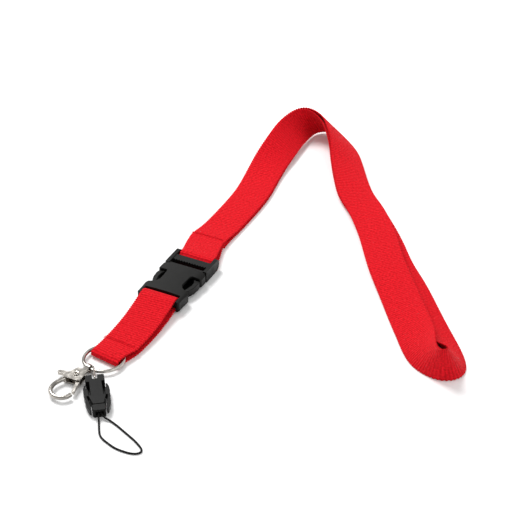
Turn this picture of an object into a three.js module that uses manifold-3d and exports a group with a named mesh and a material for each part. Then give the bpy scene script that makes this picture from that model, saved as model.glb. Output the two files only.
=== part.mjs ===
// Neck lanyard lying on a table: a red webbing neck loop, a side-release buckle, a short webbing
// strap with a key ring, a swivel trigger clasp, and a detachable connector with a phone loop.
// Millimetres, +Z up, origin at the bottom centre of the object without its phone loop.
import * as THREE from 'three';
import { mergeVertices } from 'three/addons/utils/BufferGeometryUtils.js';
import Module from 'manifold-3d';

const wasm = await Module();
wasm.setup();

// ---- driving dimensions -------------------------------------------------------------------
const FIT = 0.3; // clearance between separate pieces
const WEB_WIDTH = 20; // webbing of both straps
const WEB_THICK = 1.0;
const LAYER_GAP = 0.9; // between the two layers of the neck loop
const THREAD_WIDTH = 1.0; // a sewn row, measured along the strap
const THREAD_INSET = 1.6; // from the webbing's edge to the end of a sewn row
const SHORT_SEAM = 45; // where the short strap is sewn, along its line
const TAPER = [42, 54]; // where the short strap curls in to pass through the ring

const ARM_WALL = 2.1; // side arms of the buckle
const BUCKLE_TOP = 7.0;
const BUCKLE_CROWN = 0.8; // how far the female half's back rises above its edges
const BUCKLE_BOTTOM = 0.2;
const SHELL_WALL = 1.1;
const COLLAR_WALL = 1.7; // side wall of the female half's mouth
const PRONG_Z = [1.6, 5.7];
const PRONG_WALL = 1.8;
const TONGUE_HALF = 4.3;

const RING_WIRE = 1.8;
const RING_OUTSIDE = 22;

const CLASP_Z = 2.6; // mid-height of the clasp
const CLASP_PLATE = 0.7; // sheet that the clasp's cheeks are made of
const CLASP_INSIDE = 2.6; // room between the cheeks
const HOOK_WIRE = 2.3;
const GATE_THICK = 1.9;
const RIVET_R = 0.9;
const EYE_Y = 8.9; // from the gate's rivet to the key ring's wire
const EYE_WALL = 0.9;
const EYE_WIDTH = 2.2;
const EYE_GAP = 0.4; // between the eye and the ring's wire
const CLASP_NECK_Y = 4.6; // outer face of the clasp's neck, where the swivel turns
const SWIVEL_RIVET_R = 0.6;
const GATE_HUB_R = 2.3;
const SPRING_R = 1.55; // middle line of the gate spring's turns
const SPRING_WIRE = 0.26;
const SPRING_TURNS = 2.5;
const RIVET_HEAD_R = 1.6;

const LINK_WIRE = 0.8;
const LINK_GAP = 0.4; // between the link and the ring's wire
const LINK_LENGTH = 7.58; // from the ring's wire to the connector's bar
const LINK_SLACK = 0.35;

const CONNECTOR_HALF = 4.7;
const CONNECTOR_Z = [0.3, 4.9];
const CONNECTOR_WALL = 1.0;
const CONNECTOR_TONGUE = 1.9; // half of the plug's tongue
const NOTCH_DEPTH = 1.7; // side notches that the grips catch in
const NOTCH_Y = [-2, 8.4];
const NOTCH_FLOOR = 0.6; // plastic left under a notch
const GRIP_THICK = 3.1;
const GRIP_BARB = 0.7; // how far a grip's barb reaches into its notch
const BAR_Y = 12.6; // the bar that the link hangs on
const BAR_R = 0.7;
const PLUG = { end: -13.6, shoulder: -8.8, tongueEnd: 7.0 };
const CORD_DIAMETER = 1.0;

// Sizes that the routes and places below are drawn for.
const ROUTE_WIDTH = 20;
const ROUTE_THICK = 1.0;
const ROUTE_RING_R = 10.1;

// ---- values that follow from them ---------------------------------------------------------
const SLOT_HALF = WEB_WIDTH / 2 + FIT;
const BUCKLE_HALF = SLOT_HALF + ARM_WALL;
const COLLAR_HALF = BUCKLE_HALF + 0.5;
const COLLAR_INSIDE = COLLAR_HALF - COLLAR_WALL;
const WEB_LIFT = (WEB_THICK - ROUTE_THICK) / 2;
const LAYER_PITCH = WEB_THICK + LAYER_GAP;
const RING_R = (RING_OUTSIDE - RING_WIRE) / 2;
const LINK_END_R = (RING_WIRE + LINK_WIRE) / 2 + LINK_GAP;
const RING_Z = LINK_END_R + LINK_WIRE / 2 + 0.15; // height of the ring's wire
const RING_FOLD_WIDTH = RING_OUTSIDE - 2 * RING_WIRE - 4 * FIT;
const PRONG_ROOT_X = COLLAR_INSIDE - 2.2;

/** A place that moves with the ring when its size changes; way leads from the ring to that place. */
function byRing(place, way) {
  const grown = RING_R - ROUTE_RING_R;
  const [x, y] = [grown * (RING_WAY[0] + way[0]), grown * (RING_WAY[1] + way[1])];
  return { ...place, x: place.x + x, y: place.y + y };
}

// Places of the sub-assemblies on the table, and their turn about +Z. The ring hangs on the short
// strap's end, and the clasp, the link and the connector lie round the ring.
const LANYARD_AT = [-2, 1, 0];
const BUCKLE_AT = { x: -41, y: -27, turn: -26.5 };
const RING_WAY = [-0.572, -0.82]; // from the strap's end to the ring's middle
const RING_AT = byRing({ x: -75.9, y: -92.6 }, [0, 0]);
const CLASP_AT = byRing({ x: -88.2, y: -107.1, turn: -37.7 }, [-0.677, -0.736]);
const CONNECTOR_AT = byRing({ x: -77, y: -121.5, turn: 9.9 }, [-0.431, -0.902]);
const LINK_AT = byRing({ x: -80.19, y: -101.58, turn: 7.7 }, [-0.431, -0.902]);

// Positions along the buckle, from the neck strap's end down to the short strap's end.
const MALE = { endBar: [20.2, 22.2], ladder: [12.6, 16.9], beam: [8.0, 9.2], tongueEnd: -8.5 };
const FEMALE = {
  mouth: 7.2, windowTop: 1.2, windowEnd: -10.4, shoulder: -12.4, plateEnd: -16.8, end: -22.6,
  bar: [-22, -19.25],
};
const END_BAR_Z = [2.9, 4.9];
const LADDER_Z = [2.2 + WEB_THICK, 6.6];
const LADDER_TEETH = 12;
const TOOTH_WIDTH = 0.8;
const BAR_ROOT = 0.5; // how far the buckle's bars run into its side arms
const BEAM_Z = [1.2, 6.5];
const TONGUE_Z = [2.6, 4.8];
const FEMALE_BAR_Z = [2 + WEB_THICK, 6.3];
const PRONG_ROOT_Y = MALE.beam[0] - 0.6;

// ---- helpers ------------------------------------------------------------------------------
const rad = THREE.MathUtils.degToRad;
const v2 = (x, y) => new THREE.Vector2(x, y);
const v3 = (x, y, z) => new THREE.Vector3(x, y, z);

/** A point of a turned sub-assembly's own frame, in table coordinates. */
function onTable(at, x, y, z) {
  return v3(x, y, z).applyAxisAngle(v3(0, 0, 1), rad(at.turn)).add(v3(at.x, at.y, 0));
}

function mesh(name, geometry, colour, roughness, metalness) {
  const material = new THREE.MeshStandardMaterial({ color: colour, roughness, metalness });
  const node = new THREE.Mesh(geometry, material);
  node.name = name;
  return node;
}
const webbing = (name, geometry) => mesh(name, geometry, 0xe01c2c, 0.85, 0);
const thread = (name, geometry) => mesh(name, geometry, 0xa80f1c, 0.9, 0);
const plastic = (name, geometry) => mesh(name, geometry, 0x2d2d2b, 0.5, 0);
const nickel = (name, geometry) => mesh(name, geometry, 0xc9c6c0, 0.2, 1);
const rubberCord = (name, geometry) => mesh(name, geometry, 0x151515, 0.6, 0);

/** A solid for joining and cutting, made from a closed geometry. */
function solid(geometry) {
  const bare = geometry.clone();
  bare.deleteAttribute('normal');
  bare.deleteAttribute('uv');
  const merged = mergeVertices(bare, 1e-4);
  const vertProperties = new Float32Array(merged.attributes.position.array);
  const triVerts = new Uint32Array(merged.index.array);
  return new wasm.Manifold(new wasm.Mesh({ numProp: 3, vertProperties, triVerts }));
}

function geometryOf(manifold) {
  const result = manifold.getMesh();
  const geometry = new THREE.BufferGeometry();
  geometry.setAttribute('position', new THREE.BufferAttribute(result.vertProperties, 3));
  geometry.setIndex(new THREE.BufferAttribute(result.triVerts, 1));
  return geometry;
}

function joined(parts) {
  return parts.map(solid).reduce((sum, part) => sum.add(part));
}

/** Joins the first list of geometries, then cuts the second list away. */
function carve(parts, cuts) {
  return geometryOf(cuts.map(solid).reduce((rest, cut) => rest.subtract(cut), joined(parts)));
}

function box(x, y, z) {
  const geometry = new THREE.BoxGeometry(x[1] - x[0], y[1] - y[0], z[1] - z[0]);
  return geometry.translate((x[0] + x[1]) / 2, (y[0] + y[1]) / 2, (z[0] + z[1]) / 2);
}

/** An outline in XY, given as corners, extruded between two heights. */
function plate(corners, z) {
  const shape = new THREE.Shape(corners.map(([x, y]) => v2(x, y)));
  const geometry = new THREE.ExtrudeGeometry(shape, { depth: z[1] - z[0], bevelEnabled: false });
  return geometry.translate(0, 0, z[0]);
}

/** An outline of (y, z) corners extruded along X. */
function sidePlate(corners, x) {
  const shape = new THREE.Shape(corners.map(([y, z]) => v2(y, z)));
  const geometry = new THREE.ExtrudeGeometry(shape, { depth: x[1] - x[0], bevelEnabled: false });
  geometry.rotateX(Math.PI / 2).rotateZ(Math.PI / 2);
  return geometry.translate(x[0], 0, 0);
}

/** An outline of (x, z) corners extruded along Y. */
function frontPlate(corners, y) {
  const shape = new THREE.Shape(corners.map(([x, z]) => v2(x, z)));
  const geometry = new THREE.ExtrudeGeometry(shape, { depth: y[1] - y[0], bevelEnabled: false });
  return geometry.rotateX(Math.PI / 2).translate(0, y[1], 0);
}

/** Points of an arc about (cx, cy), from one angle to another in degrees. */
function arc(cx, cy, r, from, to, steps) {
  return Array.from({ length: steps + 1 }, (_, i) => {
    const a = rad(from + ((to - from) * i) / steps);
    return [cx + r * Math.cos(a), cy + r * Math.sin(a)];
  });
}

/** The corners of a half outline with x > 0, followed by their mirror images. */
function mirrored(half) {
  const other = half.filter(([x]) => x > 0.001).map(([x, y]) => [-x, y]);
  return [...half, ...other.reverse()];
}

function cylinderZ(x, y, r, z, sides = 24) {
  const geometry = new THREE.CylinderGeometry(r, r, z[1] - z[0], sides).rotateX(Math.PI / 2);
  return geometry.translate(x, y, (z[0] + z[1]) / 2);
}

function cylinderX(x, y, z, r, sides = 16) {
  const geometry = new THREE.CylinderGeometry(r, r, x[1] - x[0], sides).rotateZ(Math.PI / 2);
  return geometry.translate((x[0] + x[1]) / 2, y, z);
}

function cylinderY(x, y, z, r, sides = 16) {
  return new THREE.CylinderGeometry(r, r, y[1] - y[0], sides).translate(x, (y[0] + y[1]) / 2, z);
}

/** A round rod along a curve, open or closed. */
function rod(curve, diameter, steps, sides) {
  const section = new THREE.Shape(
    Array.from({ length: sides }, (_, i) => {
      const a = (2 * Math.PI * i) / sides;
      return v2((diameter / 2) * Math.cos(a), (diameter / 2) * Math.sin(a));
    }),
  );
  return new THREE.ExtrudeGeometry(section, { steps, bevelEnabled: false, extrudePath: curve });
}

// ---- webbing ------------------------------------------------------------------------------
/** The signed volume of an indexed triangle mesh. */
function volumeOf(points, index) {
  let sum = 0;
  for (let i = 0; i < index.length; i += 3) {
    const [a, b, c] = [points[index[i]], points[index[i + 1]], points[index[i + 2]]];
    sum += a.dot(b.clone().cross(c)) / 6;
  }
  return sum;
}

/** A flat strap through sections {p, q}, the two edges, as one closed body. */
function strap(sections, closed) {
  const count = sections.length;
  const middle = sections.map(({ p, q }) => p.clone().add(q).multiplyScalar(0.5));
  const points = [];
  sections.forEach(({ p, q }, i) => {
    const before = closed ? (i + count - 1) % count : Math.max(i - 1, 0);
    const after = closed ? (i + 1) % count : Math.min(i + 1, count - 1);
    const along = middle[after].clone().sub(middle[before]);
    const across = q.clone().sub(p);
    const half = along.cross(across).setLength(WEB_THICK / 2);
    points.push(p.clone().add(half), q.clone().add(half), q.clone().sub(half), p.clone().sub(half));
  });
  const index = [];
  for (let i = 0; i < (closed ? count : count - 1); i += 1) {
    for (let k = 0; k < 4; k += 1) {
      const [a, b] = [4 * i + k, 4 * i + ((k + 1) % 4)];
      const [c, d] = [4 * ((i + 1) % count) + ((k + 1) % 4), 4 * ((i + 1) % count) + k];
      index.push(a, b, c, a, c, d);
    }
  }
  if (!closed) {
    const last = 4 * (count - 1);
    index.push(0, 2, 1, 0, 3, 2, last, last + 1, last + 2, last, last + 2, last + 3);
  }
  if (volumeOf(points, index) < 0) index.reverse();
  const geometry = new THREE.BufferGeometry();
  geometry.setAttribute('position', new THREE.Float32BufferAttribute(points.flatMap((v) => v.toArray()), 3));
  geometry.setIndex(index);
  return geometry;
}

/** More sections on smooth curves through the given ones, about one every step millimetres. */
function smoothed(sections, closed, step) {
  const curveP = new THREE.CatmullRomCurve3(sections.map((s) => s.p), closed, 'catmullrom', 0.5);
  const curveQ = new THREE.CatmullRomCurve3(sections.map((s) => s.q), closed, 'catmullrom', 0.5);
  const spans = closed ? sections.length : sections.length - 1;
  const result = [];
  for (let i = 0; i < spans; i += 1) {
    const next = sections[(i + 1) % sections.length];
    const length = Math.max(sections[i].p.distanceTo(next.p), sections[i].q.distanceTo(next.q));
    const pieces = Math.max(1, Math.round(length / step));
    for (let k = 0; k < pieces; k += 1) {
      const t = (i + k / pieces) / spans;
      result.push({ p: curveP.getPoint(t), q: curveQ.getPoint(t) });
    }
  }
  if (!closed) result.push(sections[sections.length - 1]);
  return result;
}

/** A section drawn by its two edge points, brought to the webbing's width and thickness. */
function edgePair([px, py, pz], [qx, qy, qz]) {
  const middle = v3(px + qx, py + qy, pz + qz).multiplyScalar(0.5).add(v3(0, 0, WEB_LIFT));
  const half = v3(qx - px, qy - py, qz - pz).multiplyScalar((0.5 * WEB_WIDTH) / ROUTE_WIDTH);
  return { p: middle.clone().sub(half), q: middle.clone().add(half) };
}

/** A section across the buckle's own X, where the webbing is threaded through the male half. */
function threadedSection([x, y, z]) {
  const half = WEB_WIDTH / 2;
  const height = z + WEB_LIFT;
  return { p: onTable(BUCKLE_AT, x - half, y, height), q: onTable(BUCKLE_AT, x + half, y, height) };
}

// The tail under the neck strap, its turn under the ladder bar, and the way up over the end bar:
// [x, y, z] of the webbing's middle in the buckle's frame.
const NECK_TAIL = [
  [-4.8, 45.5, 2.05], [-4.4, 42.7, 2.05], [-3.6, 38, 1.75], [-2.2, 33, 0.95], [-0.7, 27.5, 0.55],
  [0, 23, 0.52], [0, 17, 0.52], [0, 12.4, 0.55], [0, 10.6, 0.8], [0, 10.1, 1.4], [0, 10.6, 2.0],
  [0, 12.4, 2.25], [0, 15.2, 2.25], [0, 17.2, 2.75], [0, 18.5, 4.2], [0, 19.6, 5.6],
  [0, 21.4, 6.15], [-0.4, 24.5, 5.8], [-1.7, 29, 5.1], [-3.4, 36, 4.2], [-4.4, 42.7, 3.55],
];

// The lower layer of the neck loop, from the seam by the buckle, up and round the far bend, where it
// stands on its edge, and down the other leg, where it is the upper layer: left and right edges.
const NECK_OUTER = [
  [[-36.6, 12.7, 0.52], [-17.9, 5.6, 0.52]],
  [[-33.3, 20.3, 0.52], [-14.9, 12.9, 0.52]],
  [[-28.6, 28.2, 0.52], [-10.0, 20.8, 0.52]],
  [[-18.4, 48.0, 0.52], [0.4, 41.0, 0.52]],
  [[-11.0, 64.6, 0.6], [7.8, 57.6, 0.52]],
  [[-5.2, 82.6, 1.5], [13.6, 76.0, 0.6]],
  [[0.2, 97.0, 5.5], [18.0, 88.5, 1.0]],
  [[6.0, 107.5, 11.0], [22.5, 98.5, 1.2]],
  [[14.4, 120.7, 16.0], [28.5, 114.5, 1.2]],
  [[28.0, 129.0, 20.0], [37.0, 131.0, 1.2]],
  [[37.6, 121.4, 20.0], [49.0, 129.0, 2.0]],
  [[41.5, 110.5, 18.0], [55.5, 116.0, 3.0]],
  [[44.0, 99.0, 14.0], [60.5, 103.0, 3.2]],
  [[44.4, 86.0, 10.4], [62.6, 89.0, 3.2]],
  [[45.4, 68.3, 7.4], [64.7, 72.0, 3.2]],
  [[47.6, 53.0, 5.2], [67.0, 57.0, 3.6]],
  [[52.4, 38.0, 3.9], [71.5, 41.5, 4.4]],
  [[56.8, 16.0, 3.0], [76.1, 18.5, 5.6]],
  [[60.2, -14.8, 2.4], [79.8, -11.0, 5.8]],
  [[65.1, -41.0, 1.4], [84.3, -37.0, 6.6]],
  [[68.5, -60.0, 0.8], [87.3, -56.0, 8.0]],
  [[71.0, -74.0, 0.6], [89.2, -70.0, 10.6]],
];

// The end of the loop, standing on one edge as a cone, then the layer underneath on the way back.
const NECK_TURN = [
  [[73.6, -86.0, 0.55], [89.6, -84.0, 13.6]],
  [[78.0, -96.5, 0.55], [88.0, -97.0, 17.4]],
  [[84.0, -103.5, 0.55], [88.2, -105.6, 19.5]],
  [[92.0, -108.3, 0.55], [91.0, -108.8, 20.0]],
  [[101.0, -106.3, 0.55], [94.3, -105.4, 19.6]],
  [[104.4, -98.0, 0.55], [91.5, -97.0, 15.4]],
  [[102.8, -83.0, 0.55], [84.9, -80.0, 7.2]],
  [[98.0, -62.0, 0.55], [79.0, -57.0, 2.8]],
  [[90.8, -29.2, 0.6], [71.4, -25.0, 1.5]],
  [[84.2, -5.4, 0.7], [64.8, -1.5, 1.0]],
  [[79.1, 20.5, 0.8], [59.8, 16.5, 0.8]],
  [[72.6, 43.5, 1.2], [53.4, 39.0, 1.2]],
];

/** Moves a run of sections off their own surface, towards the inside of the far bend. */
function shifted(sections, distance) {
  return sections.map(({ p, q }, i) => {
    const before = sections[Math.max(i - 1, 0)];
    const after = sections[Math.min(i + 1, sections.length - 1)];
    const along = after.p.clone().add(after.q).sub(before.p).sub(before.q);
    const off = q.clone().sub(p).cross(along).setLength(distance);
    return { p: p.clone().add(off), q: q.clone().add(off) };
  });
}

/** The neck loop: tail, upper layer, far bend, right leg underneath, loop end, and back on top. */
function neckSections() {
  const tail = NECK_TAIL.map(threadedSection);
  const outer = NECK_OUTER.map(([left, right]) => edgePair(left, right));
  const inner = shifted(outer.slice(1, 16), LAYER_PITCH).slice(1);
  const turn = NECK_TURN.map(([left, right]) => edgePair(left, right));
  const swap = ({ p, q }) => ({ p: q, q: p });
  return [...tail, ...inner, ...turn.map(swap).reverse(), ...outer.map(swap).reverse()];
}

// The seam of the neck strap: its middle in the buckle's frame, and the heights that it spans.
const BARTACK = { x: -4.4, y: 42.7, z: [0.15, 4.35] };

/** The block of thread through the neck strap's three layers; grow makes the hole for it. */
function bartackBar(grow) {
  const half = WEB_WIDTH / 2 - THREAD_INSET + grow;
  const y = [BARTACK.y - THREAD_WIDTH / 2 - grow, BARTACK.y + THREAD_WIDTH / 2 + grow];
  const z = [BARTACK.z[0] - 2 * grow, BARTACK.z[1] + 2 * grow];
  const bar = box([BARTACK.x - half, BARTACK.x + half], y, z);
  return bar.rotateZ(rad(BUCKLE_AT.turn)).translate(BUCKLE_AT.x, BUCKLE_AT.y, 0);
}

function neckWebbing() {
  return carve([strap(smoothed(neckSections(), false, 4.5), false)], [bartackBar(FIT)]);
}

// The short strap's middle line on the table, from the female half's bar to the key ring.
const SHORT_LINE = new THREE.CatmullRomCurve3([
  onTable(BUCKLE_AT, 0, -16, 0), onTable(BUCKLE_AT, 0, -21, 0), v3(-55.2, -57, 0), v3(-60.4, -68.5, 0),
  v3(-67, -80.5, 0), v3(-72.6, -88.8, 0), v3(-75.6, -93.1, 0), v3(-77.2, -95.4, 0),
]);

// [distance along that line, height] of the closed band round the bar and the ring's wire.
const SHORT_BAND = [
  [4.5, 7.4], [7.5, 7.3], [12, 6.5], [18, 5.7], [26, 4.9], [36, 4.1], [45, 3.7], [48, 4.0], [53, 4.25],
  [56.6, 4.2], [58.2, 3.6], [58.8, 2.4], [58.2, 1.15], [56.6, 0.55], [53, 0.52], [45, 0.52], [36, 0.52],
  [26, 0.55], [18, 0.6], [12, 0.9], [8, 1.35], [4.5, 1.9], [3.0, 2.3], [2.0, 3.4], [2.0, 5.6], [3.0, 7.0],
];
const SHORT_SEAM_Z = [0.15, 4.5];

/** The short strap's width at a distance along its line. */
function shortWidth(distance) {
  const t = THREE.MathUtils.smoothstep(distance, TAPER[0], TAPER[1]);
  return WEB_WIDTH + (Math.min(RING_FOLD_WIDTH, WEB_WIDTH) - WEB_WIDTH) * t;
}

function shortSection([distance, z]) {
  const t = distance / SHORT_LINE.getLength();
  const middle = SHORT_LINE.getPointAt(t).setZ(z + WEB_LIFT);
  const across = SHORT_LINE.getTangentAt(t).cross(v3(0, 0, 1)).setLength(shortWidth(distance) / 2);
  return { p: middle.clone().sub(across), q: middle.clone().add(across) };
}

/** The block of thread through the short strap's two layers; grow makes the hole for it. */
function seamBar(grow) {
  const t = SHORT_SEAM / SHORT_LINE.getLength();
  const middle = SHORT_LINE.getPointAt(t);
  const along = SHORT_LINE.getTangentAt(t);
  const half = shortWidth(SHORT_SEAM) / 2 - THREAD_INSET + grow;
  const reach = THREAD_WIDTH / 2 + grow;
  const bar = box([-half, half], [-reach, reach], [SHORT_SEAM_Z[0] - 2 * grow, SHORT_SEAM_Z[1] + 2 * grow]);
  return bar.rotateZ(Math.atan2(along.y, along.x) - Math.PI / 2).translate(middle.x, middle.y, 0);
}

function shortWebbing() {
  const sections = smoothed(SHORT_BAND.map(shortSection), true, 4);
  return carve([strap(sections, true)], [seamBar(FIT)]);
}

// ---- side-release buckle ------------------------------------------------------------------
/** The neck strap's half: side arms, end bar, toothed ladder bar, beam and guide tongue. */
function maleFrame() {
  const arm = [
    [MALE.beam[0], 0.5], [18.6, 0.5], ...arc(19.2, 3.9, 3.4, -80, 0, 5),
    ...arc(20.4, BUCKLE_TOP - 2.2, 2.2, 10, 90, 4), [MALE.beam[0], BUCKLE_TOP],
  ];
  const across = [-SLOT_HALF - BAR_ROOT, SLOT_HALF + BAR_ROOT];
  const parts = [
    sidePlate(arm, [SLOT_HALF, BUCKLE_HALF]),
    sidePlate(arm, [-BUCKLE_HALF, -SLOT_HALF]),
    box(across, MALE.endBar, END_BAR_Z),
    box(across, MALE.ladder, LADDER_Z),
    box(across, MALE.beam, BEAM_Z),
    plate(mirrored([[0, MALE.tongueEnd], [TONGUE_HALF - 1.5, MALE.tongueEnd], [TONGUE_HALF, MALE.tongueEnd + 2],
      [TONGUE_HALF, MALE.beam[0] + 0.4], [0, MALE.beam[0] + 0.4]]), TONGUE_Z),
  ];
  return carve([...parts, ...ladderTeeth()], []);
}

/** The row of teeth on the ladder bar's edge that grips the webbing. */
function ladderTeeth() {
  const pitch = (2 * SLOT_HALF - 2 * TOOTH_WIDTH) / LADDER_TEETH;
  const y = [MALE.ladder[0] - 0.5, MALE.ladder[0] + 0.5];
  return Array.from({ length: LADDER_TEETH }, (_, i) => {
    const x = pitch * (i + 0.5 - LADDER_TEETH / 2);
    return box([x - TOOTH_WIDTH / 2, x + TOOTH_WIDTH / 2], y, [LADDER_Z[1] - 2 * TOOTH_WIDTH, LADDER_Z[1]]);
  });
}

/** A springy latch prong: thin root, barb behind the collar, and the pad that a finger presses. */
function prong(side) {
  const root = PRONG_ROOT_X;
  const pad = BUCKLE_HALF;
  const half = [
    [root - PRONG_WALL / 2, PRONG_ROOT_Y], [root + PRONG_WALL / 2, PRONG_ROOT_Y],
    [root + PRONG_WALL / 2, FEMALE.windowTop - FIT], [pad - 0.2, FEMALE.windowTop - FIT],
    [pad + 0.2, -1.5], [pad - 0.1, -5], [pad - 0.6, -7],
    [pad - 1.7, -9.6], [pad - 3.0, -10.6], [pad - 4.0, -10], [pad - 3.5, -8], [pad - 2.5, -4],
    [pad - 2.7, -1], [root - PRONG_WALL / 2, 1.5],
  ];
  return plate(half.map(([x, y]) => [side * x, y]), PRONG_Z);
}

/** The short strap's half: a crowned sleeve with side windows and a bar for the webbing. */
function femaleShell() {
  const c = COLLAR_HALF;
  const waist = BUCKLE_HALF - 5.4;
  const outline = mirrored([
    [0, FEMALE.mouth + 0.5], [c - 5, FEMALE.mouth + 0.3], [c - 1.2, FEMALE.mouth - 0.2], [c, FEMALE.mouth - 1.2],
    [c, FEMALE.windowTop + 0.7], [c - 0.6, FEMALE.windowTop], [waist + 0.8, FEMALE.windowTop],
    [waist, FEMALE.windowTop - 0.9], [waist - 0.3, -4], [waist - 0.3, -8], [waist + 0.6, FEMALE.windowEnd + 0.6],
    [waist + 2, FEMALE.windowEnd - 0.5], [c - 1, FEMALE.shoulder + 0.3], [c, FEMALE.shoulder - 0.7],
    [c - 0.2, -15], [BUCKLE_HALF, -17.5], [BUCKLE_HALF, FEMALE.end + 0.6], [BUCKLE_HALF - 0.7, FEMALE.end],
    [SLOT_HALF, FEMALE.end], [SLOT_HALF, FEMALE.bar[0]], [0, FEMALE.bar[0]],
  ]);
  const section = [
    [-c, 1.7], [-c + 3.4, BUCKLE_BOTTOM], [c - 3.4, BUCKLE_BOTTOM], [c, 1.7], [c, BUCKLE_TOP - 0.7],
    ...Array.from({ length: 9 }, (_, i) => {
      const x = (c - 1.2) * Math.cos((Math.PI * i) / 8);
      return [x, BUCKLE_TOP + BUCKLE_CROWN * (1 - (x / c) ** 2)];
    }),
    [-c, BUCKLE_TOP - 0.7],
  ];
  const blank = solid(plate(outline, [0, 9])).intersect(solid(frontPlate(section, [-24, 10])));
  const cavityZ = [BUCKLE_BOTTOM + SHELL_WALL, BUCKLE_TOP - SHELL_WALL + 0.2];
  const slot = [-SLOT_HALF, SLOT_HALF];
  const cuts = [
    box([-COLLAR_INSIDE, COLLAR_INSIDE], [FEMALE.windowEnd - 1.2, 10], cavityZ),
    box(slot, [FEMALE.bar[1], FEMALE.plateEnd], [-1, 10]),
    box(slot, [-24, FEMALE.plateEnd], [-1, FEMALE_BAR_Z[0]]),
    box(slot, [-24, FEMALE.plateEnd], [FEMALE_BAR_Z[1], 10]),
  ];
  return geometryOf(cuts.map(solid).reduce((rest, cut) => rest.subtract(cut), blank));
}

function buckle() {
  const group = new THREE.Group();
  group.add(plastic('buckle_male_frame', maleFrame()));
  group.add(plastic('buckle_prong_left', prong(-1)));
  group.add(plastic('buckle_prong_right', prong(1)));
  group.add(plastic('buckle_female', femaleShell()));
  group.position.set(BUCKLE_AT.x, BUCKLE_AT.y, 0);
  group.rotation.z = rad(BUCKLE_AT.turn);
  return group;
}

// ---- key ring and swivel clasp ------------------------------------------------------------
function keyRing() {
  const profile = arc(RING_R, 0, RING_WIRE / 2, 0, 360, 10).map(([x, y]) => v2(x, y));
  profile[profile.length - 1].copy(profile[0]);
  return new THREE.LatheGeometry(profile, 56).rotateX(Math.PI / 2).translate(RING_AT.x, RING_AT.y, RING_Z);
}

/** The swivel's eye round the key ring's wire, with a bored boss for the swivel rivet. */
function swivelEye() {
  const inner = RING_WIRE / 2 + EYE_GAP;
  const outer = inner + EYE_WALL;
  const boss = [CLASP_NECK_Y + FIT, EYE_Y - inner - 0.3];
  return carve(
    [
      cylinderX([-EYE_WIDTH / 2, EYE_WIDTH / 2], EYE_Y, RING_Z, outer, 24),
      cylinderY(0, boss, CLASP_Z, 1.7),
    ],
    [
      cylinderX([-EYE_WIDTH, EYE_WIDTH], EYE_Y, RING_Z, inner, 24),
      cylinderY(0, [boss[0] - 1, boss[1] - 0.5], CLASP_Z, SWIVEL_RIVET_R + FIT),
    ],
  );
}

/** The rivet that the clasp turns on: a head inside the clasp's neck and a shank into the eye. */
function swivelRivet() {
  const head = cylinderY(0, [2.3, 3.0], CLASP_Z, 1.0);
  const shank = cylinderY(0, [2.6, 6.2], CLASP_Z, SWIVEL_RIVET_R);
  return carve([head, shank], []);
}

/** The clasp's two cheeks, its neck, and the hook that the gate closes. */
function claspBody() {
  const inside = [CLASP_Z - CLASP_INSIDE / 2, CLASP_Z + CLASP_INSIDE / 2];
  const cheek = [
    [-2.3, CLASP_NECK_Y], [2.3, CLASP_NECK_Y], [3.3, 3.4], [3.7, 0.6], [4.6, -2.2], [3.6, -3.3], [0.5, -3.7],
    [-2.2, -4.6], [-3.9, -5.4], [-4.6, -3.2], [-3.6, 0.4], [-3.0, 3.4],
  ];
  const hook = new THREE.CatmullRomCurve3([
    v3(-3.4, -4.2, CLASP_Z), v3(-4.4, -7.0, CLASP_Z), v3(-4.9, -10.4, CLASP_Z), v3(-3.5, -14.9, CLASP_Z),
    v3(0.3, -17.5, CLASP_Z), v3(4.3, -16.9, CLASP_Z), v3(6.7, -14.4, CLASP_Z), v3(7.2, -11.9, CLASP_Z),
  ]);
  return carve(
    [
      plate(cheek, [inside[1], inside[1] + CLASP_PLATE]),
      plate(cheek, [inside[0] - CLASP_PLATE, inside[0]]),
      box([-2.3, 2.3], [3.4, CLASP_NECK_Y], [inside[0] - 0.3, inside[1] + 0.3]),
      box([-4.2, -2.4], [-5.0, -2.8], [inside[0] - 0.3, inside[1] + 0.3]),
      rod(hook, HOOK_WIRE, 22, 10),
    ],
    [
      cylinderZ(0, 0, RIVET_R + FIT, [-1, 7]),
      cylinderY(0, [3, 5], CLASP_Z, SWIVEL_RIVET_R + FIT),
      cylinderZ(0, 0, GATE_HUB_R + FIT, [inside[0], inside[1]]),
    ],
  );
}

/** The gate: a thumb tab on one side of the rivet and the arm that closes the hook on the other. */
function claspGate() {
  const z = [CLASP_Z - GATE_THICK / 2, CLASP_Z + GATE_THICK / 2];
  const arm = [
    [0.6, 2.0], [3.4, -0.4], [5.4, -4.2], [6.6, -7.6], [7.9, -10.0], [7.4, -10.4], [6.2, -10.4], [5.0, -7.6],
    [3.6, -4.8], [0.2, -2.1],
  ];
  const tab = [[-0.4, 2.2], [-4.4, 0.4], [-9.6, -1.6], [-10, -3.0], [-9.2, -3.6], [-5.2, -2.3], [-1.2, -1.8]];
  return carve(
    [cylinderZ(0, 0, GATE_HUB_R, z), plate(arm, z), plate(tab, z)],
    [
      cylinderZ(0, 0, RIVET_R + FIT, [-1, 7]),
      cylinderZ(0, 0, SPRING_R + 0.5, [CLASP_Z - 0.3, 7]),
    ],
  );
}

/** Turns of thin wire in the gate's hub, which hold the gate shut. */
function gateSpring() {
  const steps = 40;
  const points = Array.from({ length: steps + 1 }, (_, i) => {
    const a = (2 * Math.PI * SPRING_TURNS * i) / steps;
    return v3(SPRING_R * Math.cos(a), SPRING_R * Math.sin(a), CLASP_Z + 0.05 + (0.75 * i) / steps);
  });
  return rod(new THREE.CatmullRomCurve3(points), SPRING_WIRE, steps, 6);
}

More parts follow.
